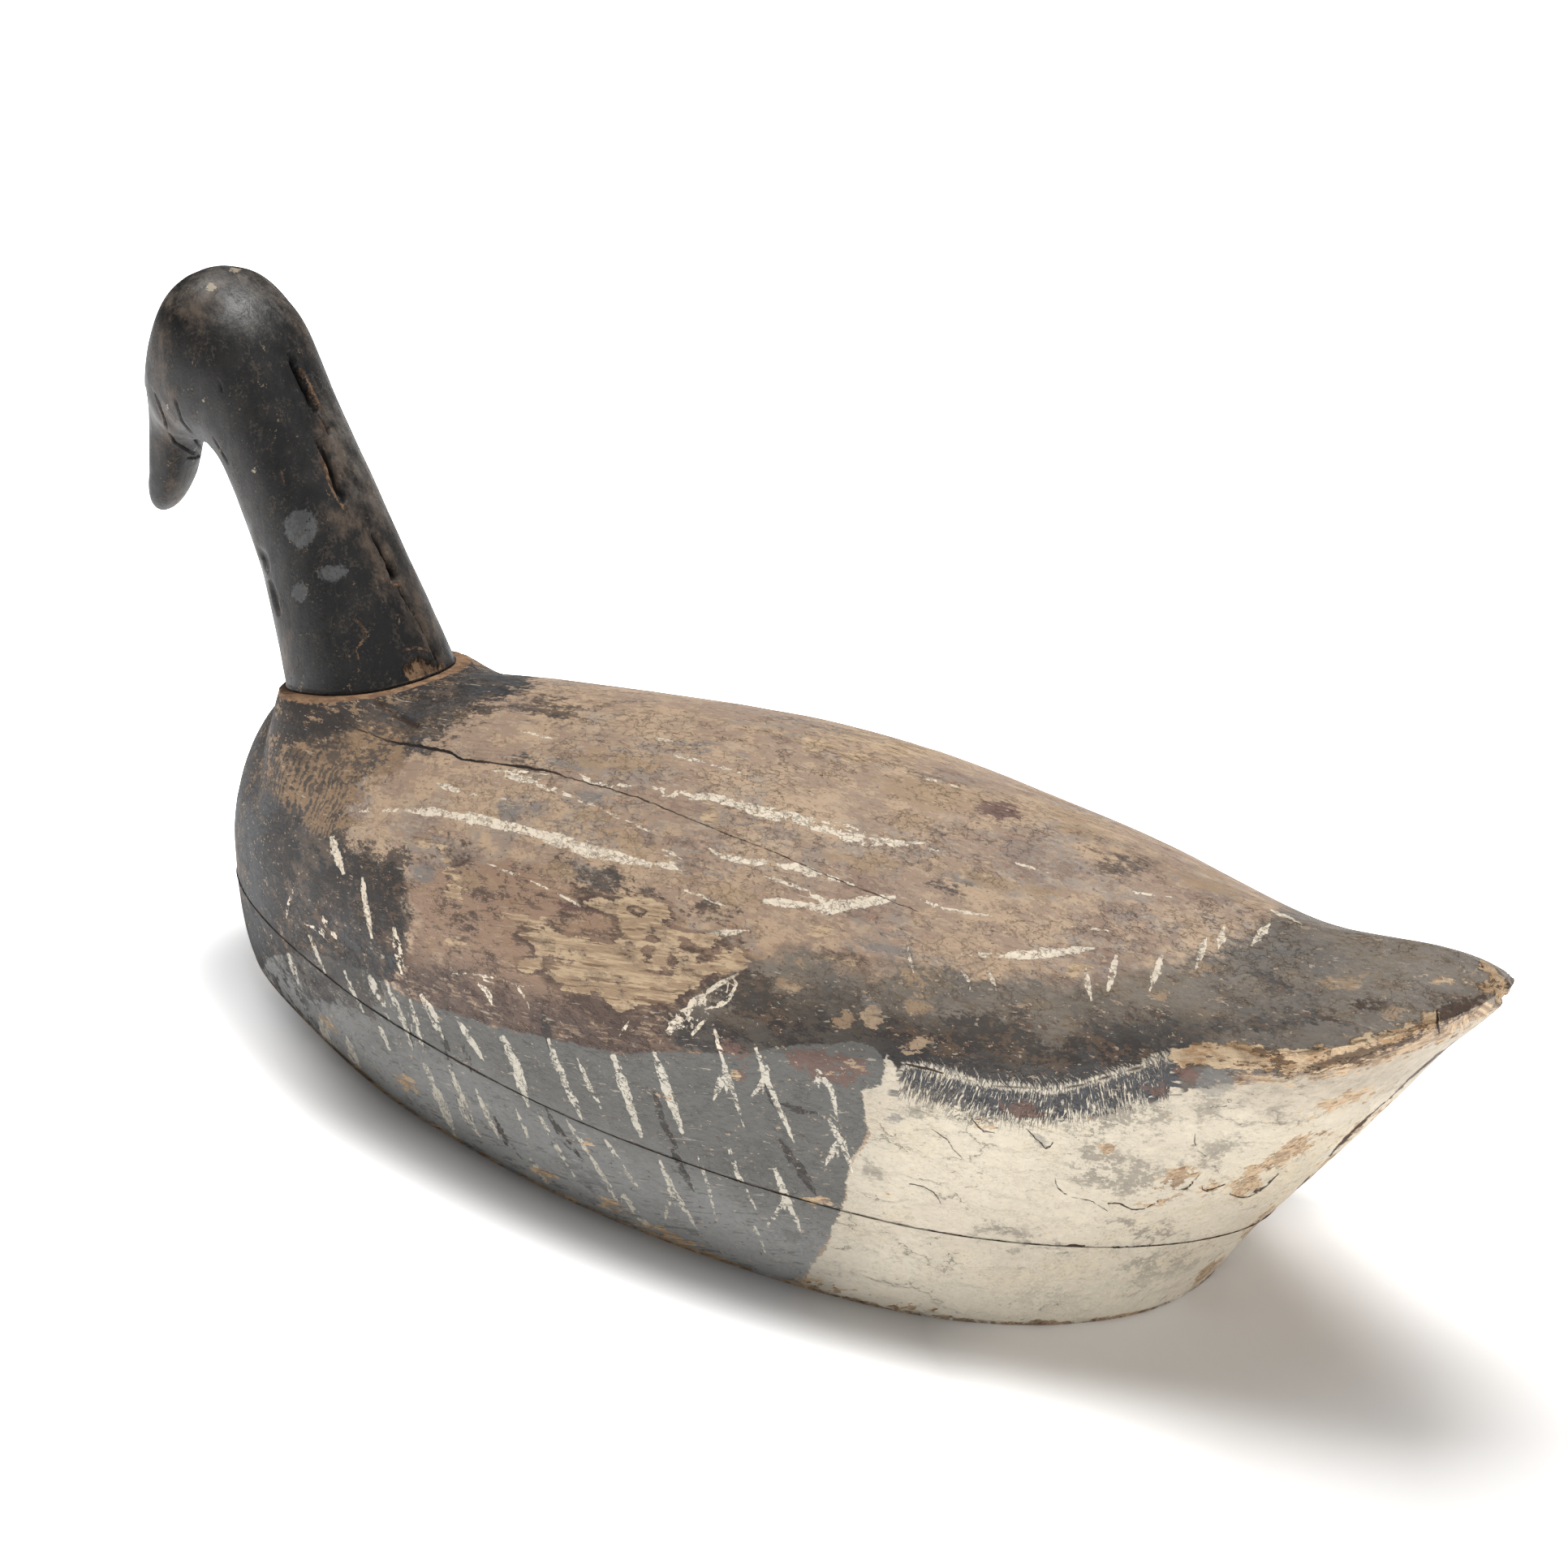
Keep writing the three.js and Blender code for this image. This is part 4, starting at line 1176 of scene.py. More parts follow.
def back_paint(f):
    """The back: ochre and grey under a taupe coat that flakes, with pale and brown flakes and
    dark fibres, and round the neck a greyer shoulder flecked with blue and ochre."""
    under = f.mix(BACK_OCHRE, BACK_GREY, f.step(f.broad[0] + f.patch[2].swing(0.6), 0.46, 0.58))
    ochre = f.step(f.broad[1] + f.patch[1].swing(0.5), 0.47, 0.62)
    paint = f.mix(under, f.mix(BACK_TAUPE, BACK_OCHRE, ochre * 0.75), f.topmost)
    pale = f.flaked(f.patch[2] * 0.7 + f.fine[1] * 0.3, f.grain[0], 0.565)
    paint = f.mix(paint, BACK_PALE, pale * 0.55)
    paint = f.mix(paint, BACK_RED, f.brown_flake * 0.5)
    paint = f.mix(paint, UMBER_DARK, f.step(f.streak[2] + f.patch[0].swing(0.5), 0.58, 0.66) * 0.22)
    shoulder = f.step(f.rim + f.broad[1].swing(50) + f.patch[2].swing(24), 46, 8)
    paint = f.mix(paint, SHOULDER_GREY, shoulder * 0.55)
    blue = f.flaked(f.patch[0] * 0.55 + f.grain[1] * 0.45, f.fine[2], 0.535)
    paint = f.mix(paint, SOOT_BLUE, blue * shoulder * 0.8)
    rubbed = f.flaked(f.patch[2] * 0.55 + f.grain[2] * 0.45, f.fine[0], 0.55)
    return f.mix(paint, RUBBED_OCHRE, rubbed * shoulder * 0.7)


def breast_paint(f):
    """The black breast: mottled grey and brown, rubbed to ochre in ripples high up, and worn in
    flecks round the neck's rim."""
    paint = f.mix(BREAST_BLACK, BREAST_GREY, f.step(f.patch[1] + f.broad[2].swing(0.8), 0.42, 0.62))
    brown = f.step(f.patch[2] + f.broad[0].swing(0.7), 0.48, 0.6)
    paint = f.mix(paint, BREAST_BROWN, brown * 0.75)
    high = f.step(f.rub + f.broad[1].swing(40) + f.patch[1].swing(20), -6, 8)
    rippled = (f.ripple - NOISE_MEAN) * f.waved * 0.13
    rubbing = f.patch[0] * 0.6 + f.fine[2] * 0.35 + rippled + high * 0.1
    paint = f.mix(paint, BREAST_BROWN, high * 0.45)
    rubbed = f.step(rubbing, 0.545, 0.57) * (high * 0.7 + 0.3)
    paint = f.mix(paint, RUBBED_OCHRE, rubbed * 0.82)
    by_rim = f.step(f.rim + f.broad[2].swing(24), 20, 5) * f.step(f.rim, -1, 1)
    worn = f.flaked(f.patch[0] * 0.6 + f.fine[1] * 0.4, f.grain[1], 0.535)
    return f.mix(paint, f.mix(SOOT, RUBBED_OCHRE, worn), by_rim * 0.8)


def flank_paint(f):
    """The flank: umber with dark and ochre flakes and fibres, darkest just above the panel."""
    low = f.step(f.grey + f.broad[1].swing(22), -27, -8)
    dark = f.flaked(f.patch[1] * 0.6 + f.broad[0] * 0.4 + low * 0.07, f.fine[0], 0.555)
    paint = f.mix(UMBER, UMBER_DARK, dark * 0.75)
    paint = f.mix(paint, UMBER_LOW, low * (0.72 + f.step(f.patch[2], 0.46, 0.54) * 0.26))
    ochre = f.flaked(f.patch[2] * 0.7 + f.fine[2] * 0.3, f.grain[2], 0.545)
    paint = f.mix(paint, UMBER_OCHRE, ochre * (0.7 - low * 0.35))
    paint = f.mix(paint, BACK_PALE, f.step(f.streak[1] + f.patch[2].swing(0.7), 0.6, 0.64) * 0.35)
    return f.mix(paint, UMBER_DARK, f.step(f.streak[0] + f.patch[1].swing(0.8), 0.57, 0.61) * 0.55)


def rump_paint(f):
    """The wing and rump: mottled greys and ochre, sooty along the border with the panel and the
    cream, and darkest above the comb of strokes."""
    dark = f.step(f.patch[2] * 0.4 + f.broad[1] * 0.3 + f.grain[0] * 0.3, 0.44, 0.56)
    paint = f.mix(TAIL_GREY, TAIL_DARK, dark * 0.8)
    paint = f.mix(paint, TAIL_OCHRE, f.step(f.patch[1] * 0.6 + f.broad[0] * 0.4, 0.46, 0.58) * 0.6)
    paint = f.mix(paint, RUMP_BLUE, f.step(f.broad[2] + f.patch[0].swing(0.7), 0.5, 0.6) * 0.4)
    paint = f.mix(paint, SOOT_BROWN, f.step(f.streak[1] + f.patch[1].swing(0.6), 0.56, 0.66) * 0.5)
    paint = f.mix(paint, BACK_OCHRE, f.flaked(f.patch[0] * 0.7 + f.fine[0] * 0.3, f.grain[0], 0.6) * 0.5)
    by_border = f.step(f.most(f.grey, f.stern) + f.broad[2].swing(26) + f.patch[1].swing(10), -24, -6)
    mottled = 0.72 + f.step(f.patch[0], 0.46, 0.54) * 0.26
    paint = f.mix(paint, SOOT, by_border * f.step(f.x, -0.28, -0.2) * mottled)
    by_comb = f.step(f.from_line + f.broad[1].swing(20) + f.patch[0].swing(12), 19, 5)
    return f.mix(paint, COMB_SHADE, by_comb * f.step(f.across, 1, -1) * 0.85)


def spotted(f, paint):
    """Red-brown, blackened, blue, sooty and ochre places on the back, wing and breast, and a painted
    shadow under the lip of the torn tail edge.
    """
    paint = f.mix(paint, RED_BROWN, f.ragged(f.red, 5, 2, 0.5) * 0.85)
    paint = f.mix(paint, SOOT, f.blackened * 0.8)
    paint = f.mix(paint, BLUE_FLAKE, f.ragged(f.blue, 5, 2, 0.6) * 0.65)
    brown = f.flaked(f.patch[2] * 0.6 + f.fine[1] * 0.4, f.streak[1], 0.52)
    soot = f.mix(SOOT, SOOT_BROWN, brown * 0.8)
    soot = f.mix(soot, SOOT_BLUE, f.step(f.patch[1] + (f.broad[2] - NOISE_MEAN), 0.5, 0.62) * 0.4)
    # The dark spots: soot, and by the torn tail edge a painted shadow under its lip
    paint = f.mix(paint, soot, f.ragged(f.dark_spot_and_lip_shadow, 10, 6, 1.6) * 0.8)
    return f.mix(paint, OCHRE_FLAKE, f.ragged(f.ochre, 6, 3, 0.5) * 0.7)


def with_panel(f, paint):
    """The grey panel, lighter near the ground as painted light, and scrubbed through toward the breast."""
    # Painted light: the panel is lighter near the ground
    panel = f.mix(PANEL_GREY, PANEL_PAINTED_LIGHT, f.step(f.z + f.broad[1].swing(0.04), 0.05, 0.01))
    panel = f.mix(panel, PANEL_DARK, f.step(f.streak[1] + f.patch[2].swing(0.8), 0.6, 0.66) * 0.5)
    panel = f.mix(panel, PANEL_DARK, f.step(f.broad[2] + f.patch[1].swing(0.7), 0.6, 0.68) * 0.35)
    whole = f.step(f.x + f.broad[0].swing(0.2), 0.2, 0.14)
    scrubbed = f.step(f.patch[2] * 0.7 + f.fine[0] * 0.3, 0.44, 0.5)
    return f.mix(paint, panel, f.grey_cover * f.most(whole, scrubbed) * (1 - f.blackened * 0.7))


def comb_strokes(f):
    """The comb of short cream and dark strokes along the stern's upper border: the dark ground
    that it stands on, the cover of the cream with its teeth, and the dark teeth in the cream."""
    beside = f.step(f.from_line - abs(f.across), 1.2, 0.4)
    ground = beside * f.step(f.across + f.patch[1].swing(4), -0.2, 0.4) * f.step(f.stern, 1.6, 0.0)
    tooth = f.noises(f.joined(f.along + f.across * 0.12, f.across * 0.14, f.z * 20), 2.2, 4)
    hair = f.noises(f.joined(f.along - f.across * 0.8, f.across * 0.25, f.z * 20), 1.2, 3)
    above = beside * f.step(f.across, -6.5, -0.5) * f.step(f.across, 0.6, -0.4)
    hairs = f.step(hair[0] + (above - 1) * 0.1, 0.545, 0.575) * above
    near_line = f.step(abs(f.across + f.patch[0].swing(5)), 2.6, 0.6)
    top_line = f.step(hair[1] + near_line * 0.22, 0.6, 0.66) * beside * near_line
    thicker = f.step(f.stern, -5, 1) * 0.08
    teeth = f.step(tooth[0] + f.patch[2].swing(0.5) + thicker, 0.535, 0.575) * ground
    solid = f.ragged(f.stern + (tooth[2] - NOISE_MEAN) * beside * 14, 1.8, 1.6, 0.4)
    cream = f.most(f.most(solid, teeth), f.most(top_line, hairs))
    dark = f.step(tooth[1] - f.step(f.across, 16, 8) * 0.06, 0.45, 0.41)
    return ground, cream, dark * beside * f.step(f.across, 18, 9)


def cream_paint(f, dark_teeth):
    """The stern's cream: warm and dull by turns, cracked, smudged, lighter near the ground as painted
    light, greyed beside the panel and shaded under the tail."""
    paint = f.mix(CREAM, CREAM_WARM, f.step(f.broad[0] + f.patch[2].swing(0.5), 0.46, 0.66) * 0.6)
    paint = f.mix(paint, CREAM_DULL, f.step(f.broad[2] + f.patch[0].swing(0.7), 0.5, 0.66) * 0.55)
    paint = f.mix(paint, CRACK_BROWN, f.crackle * 0.4)
    paint = f.mix(paint, SMUDGE, f.step(f.streak[2] + f.broad[0].swing(0.6), 0.63, 0.68) * 0.35)
    speckled = f.step(f.fine[0] + f.patch[0], 0.91, 1.05)
    paint = f.mix(paint, SMUDGE, f.ragged(f.smudge, 8, 4, 2.0) * speckled * 0.85)
    paint = f.mix(paint, CREAM_DULL, f.step(f.fine[1] + f.patch[1].swing(0.6), 0.6, 0.66) * 0.5)
    paint = f.mix(paint, COMB_DARK, dark_teeth * 0.8)
    # Painted light: the cream is lighter near the ground
    paint = f.mix(paint, CREAM_PAINTED_LIGHT, f.step(f.z, 0.04, 0.0) * 0.7)
    by_panel = f.step(f.stern + f.broad[1].swing(20), 26, 6) * f.step(f.x, -0.17, -0.09)
    paint = f.mix(paint, CREAM_GREYED, by_panel * 0.65)
    under_tail = f.step(f.x + f.broad[1].swing(0.05), -0.225, -0.285)
    under_tail = under_tail * f.step(f.z + f.broad[0].swing(0.02), 0.09, 0.125)
    return f.mix(paint, CREAM_SHADED, under_tail * (0.75 + f.step(f.grain[1], 0.46, 0.56) * 0.25))


def with_cream(f, paint, cream_cover, dark_teeth):
    """The cream, and over it what is left of red-brown and blue."""
    paint = f.mix(paint, cream_paint(f, dark_teeth), cream_cover)
    red = f.ragged(f.red, 4, 2, 0.4) * f.step(f.fine[2] + f.patch[0].swing(0.5), 0.4, 0.44)
    paint = f.mix(paint, RED_BROWN, red * 0.85)
    blue = f.ragged(f.blue, 3, 2, 0.5) * f.step(cream_cover, 0.4, 0.6)
    return f.mix(paint, BLUE_FLAKE, blue * 0.5)


def with_strokes(f, paint):
    """The dark and then the cream feather strokes, whiter on the panel. Also the cream's cover."""
    paint = f.mix(paint, SOOT, f.brushed("dark", f.dark_power + 0.2, 0.9) * 0.85)
    stroke = f.mix(STROKE_CREAM, TICK_WHITE, f.step(f.grey, -1, 1))
    stroke = f.mix(stroke, CREAM_DULL, f.step(f.fray[2], 0.54, 0.64) * 0.4)
    cover = f.brushed("cream", f.cream_power, 0.7)
    return f.mix(paint, stroke, cover * (0.9 + f.step(f.grey, 1, -1) * 0.07)), cover


def aged(f, paint, cream_cover):
    """Scratches, the fine net of cracks in the brown paint, and specks. Also the net's cover."""
    off_cream = f.step(cream_cover, 0.5, 0.2)
    scratch = f.step(f.streak[0] + f.patch[0].swing(0.5), 0.69, 0.71) * off_cream
    paint = f.mix(paint, CREAM_DULL, scratch * 0.5)
    netted = f.step(f.patch[1] + (f.broad[1] - NOISE_MEAN), 0.46, 0.56)
    net = f.step(f.small_cells, 0.035, 0.008) * netted
    net = net * f.step(cream_cover, 0.5, 0.1) * (1 - f.grey_cover * 0.8)
    paint = f.mix(paint, UMBER_DARK, net * (0.3 + f.flank_cover * 0.3))
    light_speck = f.step(f.fine[2] + f.patch[2].swing(0.4), 0.655, 0.675) * off_cream
    paint = f.mix(paint, BACK_PALE, light_speck * 0.7)
    dark_speck = f.step(f.fine[0] + f.patch[0].swing(0.4), 0.345, 0.325)
    return f.mix(paint, UMBER_DARK, dark_speck * (0.65 - cream_cover * 0.35)), net


def worn_through(f, paint):
    """Where the paint is gone down to the wood: the bare spots, the large patch with a dark rim,
    chips and the foot's edge, the torn tail edge with painted shade in its pits and a painted shadow
    under its lip near the tip, the neck's rim and the gouge. Also the covers of the bare wood and of
    the torn, rim and gouge wood."""
    spots = f.most(f.bare + f.grain[0].swing(9), -3) + f.patch[0].swing(7) + f.fray[1].swing(5)
    left_on = f.flaked(f.patch[1] * 0.5 + f.fine[1] * 0.5, f.grain[2], 0.55) * f.step(f.stern, 2, 0)
    in_patch = f.wood_patch + f.patch[0].swing(8) + f.grain[0].swing(7) + f.fray[1].swing(4)
    dark_rim = f.step(abs(in_patch + 0.9), 1.6, 0.7)
    paint = f.mix(paint, UMBER_DARK, dark_rim * (0.35 + f.step(f.patch[1], 0.46, 0.54) * 0.4))
    chips = f.step(f.patch[2] + f.fine[0].swing(0.3), 0.69, 0.705)
    foot_edge = f.step(f.z + f.patch[0].swing(0.01) + f.broad[1].swing(0.008), 0.0018, 0.0008)
    bare = f.step(spots, -0.1, 0.2) * (1 - left_on * 0.85)
    bare = f.most(bare, f.step(in_patch, -0.1, 0.1) * (1 - f.flaked(f.patch[1], f.fine[1], 0.62) * 0.9))
    bare = f.most(bare, f.most(chips, foot_edge))
    paint = f.mix(paint, bare_wood(f), bare)
    raw = f.mix(TORN_ORANGE, TORN_PALE, f.step(f.edge[2] * 0.4 + f.patch[0] * 0.6, 0.43, 0.55))
    # Painted shade in the pits of the torn wood
    paint = f.mix(paint, f.mix(raw, WOOD_LINE, f.pits_with_painted_shade * 0.9), f.torn_cover)
    # Painted shadow under the lip of the torn edge near the tail tip
    painted_lip_shadow = f.ragged(f.dark_spot_and_lip_shadow, 4, 2, 0.6) * f.step(f.x, -0.28, -0.29)
    paint = f.mix(paint, CRACK_BROWN, painted_lip_shadow * 0.8)
    paint = f.mix(paint, f.mix(RIM_TAN, RIM_BROWN, f.step(f.patch[2], 0.44, 0.56)), f.rim_cover)
    exposed = f.most(f.torn_cover, f.most(f.rim_cover, f.gouge_cover))
    return f.mix(paint, CRACK_BROWN, f.gouge_cover), f.most(bare, exposed)


def with_cracks(f, paint, cream_cover):
    """The drying cracks and the glue line. Also their cover."""
    side, half, plain = f.field("crack")
    crack = f.step(abs(side + f.fray[2].swing(1.6)) - half * (0.2 + f.patch[0] * 1.4), 0.16, 0.0)
    crack = crack * f.step(plain - half, 1.2, 0.7) * f.step(f.crack_power + f.fray[0] * 0.8, 0.72, 0.92)
    from_seam = abs(f.z - BOARD_HEIGHT) + f.patch[1].swing(0.0012)
    seam = f.step(from_seam, 0.0004, 0.00015) * (0.45 + f.step(f.patch[2], 0.42, 0.52) * 0.55)
    seam = seam * (1 - cream_cover * f.step(f.patch[1], 0.44, 0.56) * 0.6)
    deep = f.most(crack, seam)
    return f.mix(paint, f.mix(CRACK_BROWN, DEEP_SHADE, f.step(half, 0.2, 0.5)), deep), deep


def body_finish():
    """Old oil paint on wood: layers from the first coat up, then wear, cracks and relief."""
    f = BodyFinish("worn_body_paint")
    paint = f.mix(back_paint(f), breast_paint(f), f.breast_cover)
    paint = f.mix(paint, flank_paint(f), f.flank_cover)
    paint = f.mix(paint, rump_paint(f), f.ragged(f.tail, 8, 3, 3))
    paint = with_panel(f, spotted(f, paint))
    comb_ground, cream_cover, dark_teeth = comb_strokes(f)
    paint = f.mix(paint, COMB_DARK, comb_ground * 0.9)
    paint = with_cream(f, paint, cream_cover, dark_teeth)
    paint, stroke_cover = with_strokes(f, paint)
    paint, net = aged(f, paint, cream_cover)
    paint, bare = worn_through(f, paint)
    paint, deep = with_cracks(f, paint, cream_cover)
    shade = f.grey_of(0.72 + f.fine[0] * 0.28 + f.broad[1] * 0.28)
    paint = f.mix(paint, shade, 1.0, "MULTIPLY")

    relief = (1 - bare) * 0.5 + f.grain[0] * (0.25 + bare * 0.9) + f.fine[0] * 0.3 + f.patch[0] * 0.5
    relief = relief + f.torn_cover * (f.patch[2] * 3.0 + f.edge[2] * 2.5 - f.pits_with_painted_shade * 1.5)
    relief = relief + f.step(f.patch[2], 0.44, 0.47) * 0.12 + f.fray[1] * 0.5
    relief = relief + cream_cover * 0.12 + f.topmost * 0.12 - f.brown_flake * 0.14 + stroke_cover * 0.3
    relief = relief + f.step(f.wide_cells, 0.0, 0.09) * cream_cover * 0.3
    relief = relief - f.crackle * cream_cover * 0.5 - net * 0.35 + f.grey_cover * 0.1
    relief = relief + f.ripple * f.waved * f.breast_cover * 0.45 - deep * 2.0
    roughness = 0.6 + bare * 0.2 + f.patch[0].swing(0.35) + f.breast_cover * 0.1
    return f.finished(Base_Color=paint, Roughness=f.clamp(roughness), Normal=f.bump(relief, 0.4 * MM),
                      Specular_IOR_Level=0.3)


def head_finish():
    """Charcoal paint on the neck, head and bill, rubbed through to brown, with painted light and old scars.
    """
    f = Finish("worn_head_paint")
    broad = f.noises(f.place, 46, 5)
    patch = f.noises(f.stretched(1, 1, 0.5), 160, 6, 0.68)
    fine = f.noises(f.place, 800, 4, 0.65)
    grain = f.noises(f.stretched(300, 300, 40), 1, 4)
    grey, cream, rub = f.field("spots")
    wood, slot, chip = f.field("marks")
    sheen, _, _ = f.field("shine")
    bent = f.joined(*[noise * 0.01 for noise in patch])
    curl_edge = f.cells(f.vector("ADD", f.stretched(1, 1, 0.55), bent), 70)
    gloss_and_painted_sheen = f.step(sheen + patch[0].swing(30), -6, 10)
    curl = f.step(curl_edge, 0.012, 0.002) * f.step(broad[1] + patch[1].swing(0.8), 0.5, 0.58) * (1 - gloss_and_painted_sheen)
    coat = f.mix(HEAD_BLACK, HEAD_CHARCOAL, f.step(broad[0] + patch[0].swing(0.8), 0.42, 0.62))
    coat = f.mix(coat, HEAD_DUST, f.step(fine[0] + patch[1].swing(1.0), 0.58, 0.68) * 0.6)
    # The rubs: brown wear, and along the back of the neck painted light on its edge
    rubbed = f.step(rub + patch[0].swing(24) + fine[1].swing(10), -3, 5)
    coat = f.mix(coat, HEAD_BROWN, rubbed * (0.25 + f.step(patch[2], 0.42, 0.56) * 0.55))
    coat = f.mix(coat, HEAD_GRAIN, f.step(grain[0], 0.56, 0.64) * 0.5)
    # Painted sheen: the coat is lighter where the crown and neck catch the light
    coat = f.mix(coat, HEAD_PAINTED_SHEEN, gloss_and_painted_sheen * (0.3 + f.step(fine[2] + patch[2], 0.95, 1.1) * 0.3))
    spot = f.step(grey + patch[1].swing(5) + fine[0].swing(5), -0.4, 1.0)
    spot = spot * f.step(patch[2] + fine[2].swing(0.6), 0.3, 0.36)
    coat = f.mix(coat, HEAD_PUTTY, spot * (0.5 + f.step(patch[0] + fine[1].swing(0.6), 0.4, 0.6) * 0.3))
    coat = f.mix(coat, HEAD_CREAM_DROP, f.step(cream + fine[0].swing(4), -0.2, 0.3) * 0.85)
    specks = f.step(patch[2] + fine[2].swing(0.6), 0.68, 0.7)
    coat = f.mix(coat, HEAD_SPECK, specks * 0.7)
    coat = f.mix(coat, HEAD_CURL, curl * 0.7)
    raw = f.mix(SPLIT_LIGHT, SPLIT_DARK, f.step(grain[1], 0.44, 0.56))
    opened = f.step(wood + fine[0].swing(3), 0.2, -0.1)
    chipped = f.step(chip + patch[0].swing(10) + fine[1].swing(5), -0.3, 0.4)
    bared = f.most(opened, chipped)
    raw = f.mix(raw, CHIP_WOOD, chipped * f.step(patch[2], 0.44, 0.54) * 0.8)
    coat = f.mix(coat, raw, bared)
    coat = f.mix(coat, SPLIT_SHADE, f.step(slot, 0.3, 0.62))
    lift = spot * 0.2 + (1 - bared) * 0.6 + grain[0] * 0.7 + fine[0] * 0.5 + patch[0] * 1.1 - curl * 0.5
    roughness = 0.52 + rubbed * 0.12 + patch[1].swing(0.5) + bared * 0.3 - gloss_and_painted_sheen * 0.2
    return f.finished(Base_Color=coat, Roughness=f.clamp(roughness), Normal=f.bump(lift, 0.3 * MM),
                      Specular_IOR_Level=0.32)


def upper_block(finish):
    """The upper block: from the glue line up, to where the ridge comes down to it in front."""
    cut = BOARD_HEIGHT + JOINT_GAP / 2
    end = height_share(lambda share: body_lines(share)[2], cut, 0.875, 1)
    share = even_shares(ROWS, 0, end)
    low = level_at(share, cut)
    low[-1] = 1
    bend = np.maximum(low, 0)
    lower = even_levels(share, low, bend, UPPER_COLUMNS[0], fine_start=True)
    upper = even_levels(share, bend, np.ones(ROWS), UPPER_COLUMNS[1])
    left = np.concatenate([lower, upper[:, 1:]], 1)
    points, faces, normals, fields, depth = body_block(share, left, top_flat=False)
    on_cut = points[:, 2] < cut + ON_FACE
    depth = depth + eased_edge(points, cut, EASED_REACH, EASED_DEPTH)
    moved = points - normals * depth[:, None]
    moved[on_cut, 2] = cut
    return made("upper_block", moved, faces, "body_paint", "body_upper", finish, **fields)


def lower_board(finish):
    """The bottom board: from the flat underside up to the glue line."""
    top = BOARD_HEIGHT - JOINT_GAP / 2
    start = height_share(lambda share: body_lines(share)[3], top, 0.125, 0.375)
    share = even_shares(ROWS, start, 1)
    low = level_at(share, 0)
    high = np.maximum(level_at(share, top), low)
    left = even_levels(share, low, high, BOARD_COLUMNS, fine_start=True, fine_end=True)
    points, faces, normals, fields, depth = body_block(share, left, top_flat=True)
    depth = depth + eased_edge(points, top, EASED_REACH, EASED_DEPTH)
    chipped = 1.2 + noise(points, 9 * MM, 21)
    splintered = 1 + noise(points * (0.4, 1, 1), 4 * MM, 22)
    foot = eased_edge(points, 0, FOOT_REACH, 0.5)
    depth = depth + foot * (FOOT_CHIP_DEPTH * chipped * splintered)
    moved = points - normals * depth[:, None]
    moved[points[:, 2] > top - ON_FACE, 2] = top
    moved[points[:, 2] < ON_FACE, 2] = 0
    return made("lower_board", moved, faces, "board_paint", "body_lower", finish, **fields)


# Rows along the neck and head, columns round them, and rows of the bill's tip and the foot
HEAD_ROWS = 350
HEAD_SIDES = 250
TIP_ROWS = 26
FOOT_ROWS = 10

# How deep the head is worn and chipped
HEAD_HOLLOWS = 0.2 * MM
HEAD_FACETS = 0.14 * MM
HEAD_CHIPPED = 1.6 * MM
NECK_FOOT_WORN = 1.0 * MM
NECK_FOOT_REACH = 2.2 * MM


def filled(value):
    """A sine or cosine filled out to that of the head's oval sections."""
    return np.sign(value) * np.abs(value) ** (2 / HEAD_FULLNESS)


def head_rows():
    """The neck, head and bill: ovals between the outer and the inner line, from a flat foot on
    the seat to a bill tip where the oval moves by the sine and shrinks by the cosine."""
    slope = np.array([np.cos(SEAT_TILT), -np.sin(SEAT_TILT)]) * FOOT_DEPTH / 2
    lifted = np.array([0, JOINT_GAP / np.cos(SEAT_TILT)])
    outer = np.array([lifted - slope, *(np.array(HEAD_OUTER) * HEAD_RISE)])
    inner = np.array([lifted + slope, *(np.array(HEAD_INNER) * HEAD_RISE)])
    half = np.array([FOOT_WIDTH / 2, *(np.array(HEAD_HALF) * HEAD_WIDTH / 2)])
    dense = np.linspace(0, 1, 2001)
    spine = np.stack([through((outer[:, k] + inner[:, k]) / 2, dense) for k in (0, 1)], -1)
    crest = np.stack([through(outer[:, k], dense) for k in (0, 1)], -1)
    steps = np.maximum(np.linalg.norm(np.diff(spine, axis=0), axis=1),
                       np.linalg.norm(np.diff(crest, axis=0), axis=1) * 0.7)
    length = np.concatenate([[0], np.cumsum(steps)])
    share = np.interp(np.linspace(0, length[-1], HEAD_ROWS), length, dense)
    far = np.stack([through(outer[:, k], share) for k in (0, 1)], -1)
    near = np.stack([through(inner[:, k], share) for k in (0, 1)], -1)
    middle = (far + near) / 2
    reach = (far - near) / 2
    side = through(half, share)
    angle = np.linspace(0, np.pi / 2, TIP_ROWS + 1)[1:, None]
    tip = np.array(BILL_TIP) * HEAD_RISE
    middle = np.concatenate([middle, middle[-1] + (tip - middle[-1]) * np.sin(angle)])
    reach = np.concatenate([reach, reach[-1] * np.cos(angle)])
    side = np.concatenate([side, side[-1] * np.cos(angle[:, 0])])
    shrink = np.linspace(0, 1, FOOT_ROWS + 1)[:-1, None]
    middle = np.concatenate([np.repeat(middle[:1], FOOT_ROWS, 0), middle])
    reach = np.concatenate([reach[:1] * shrink, reach])
    side = np.concatenate([side[0] * shrink[:, 0], side])
    turn = np.linspace(0, 2 * np.pi, HEAD_SIDES, endpoint=False)
    out = filled(np.cos(turn))
    return np.stack([
        SEAT_X + middle[:, :1] + reach[:, :1] * out,
        side[:, None] * filled(np.sin(turn)),
        SEAT_Z + middle[:, 1:] + reach[:, 1:] * out,
    ], -1)


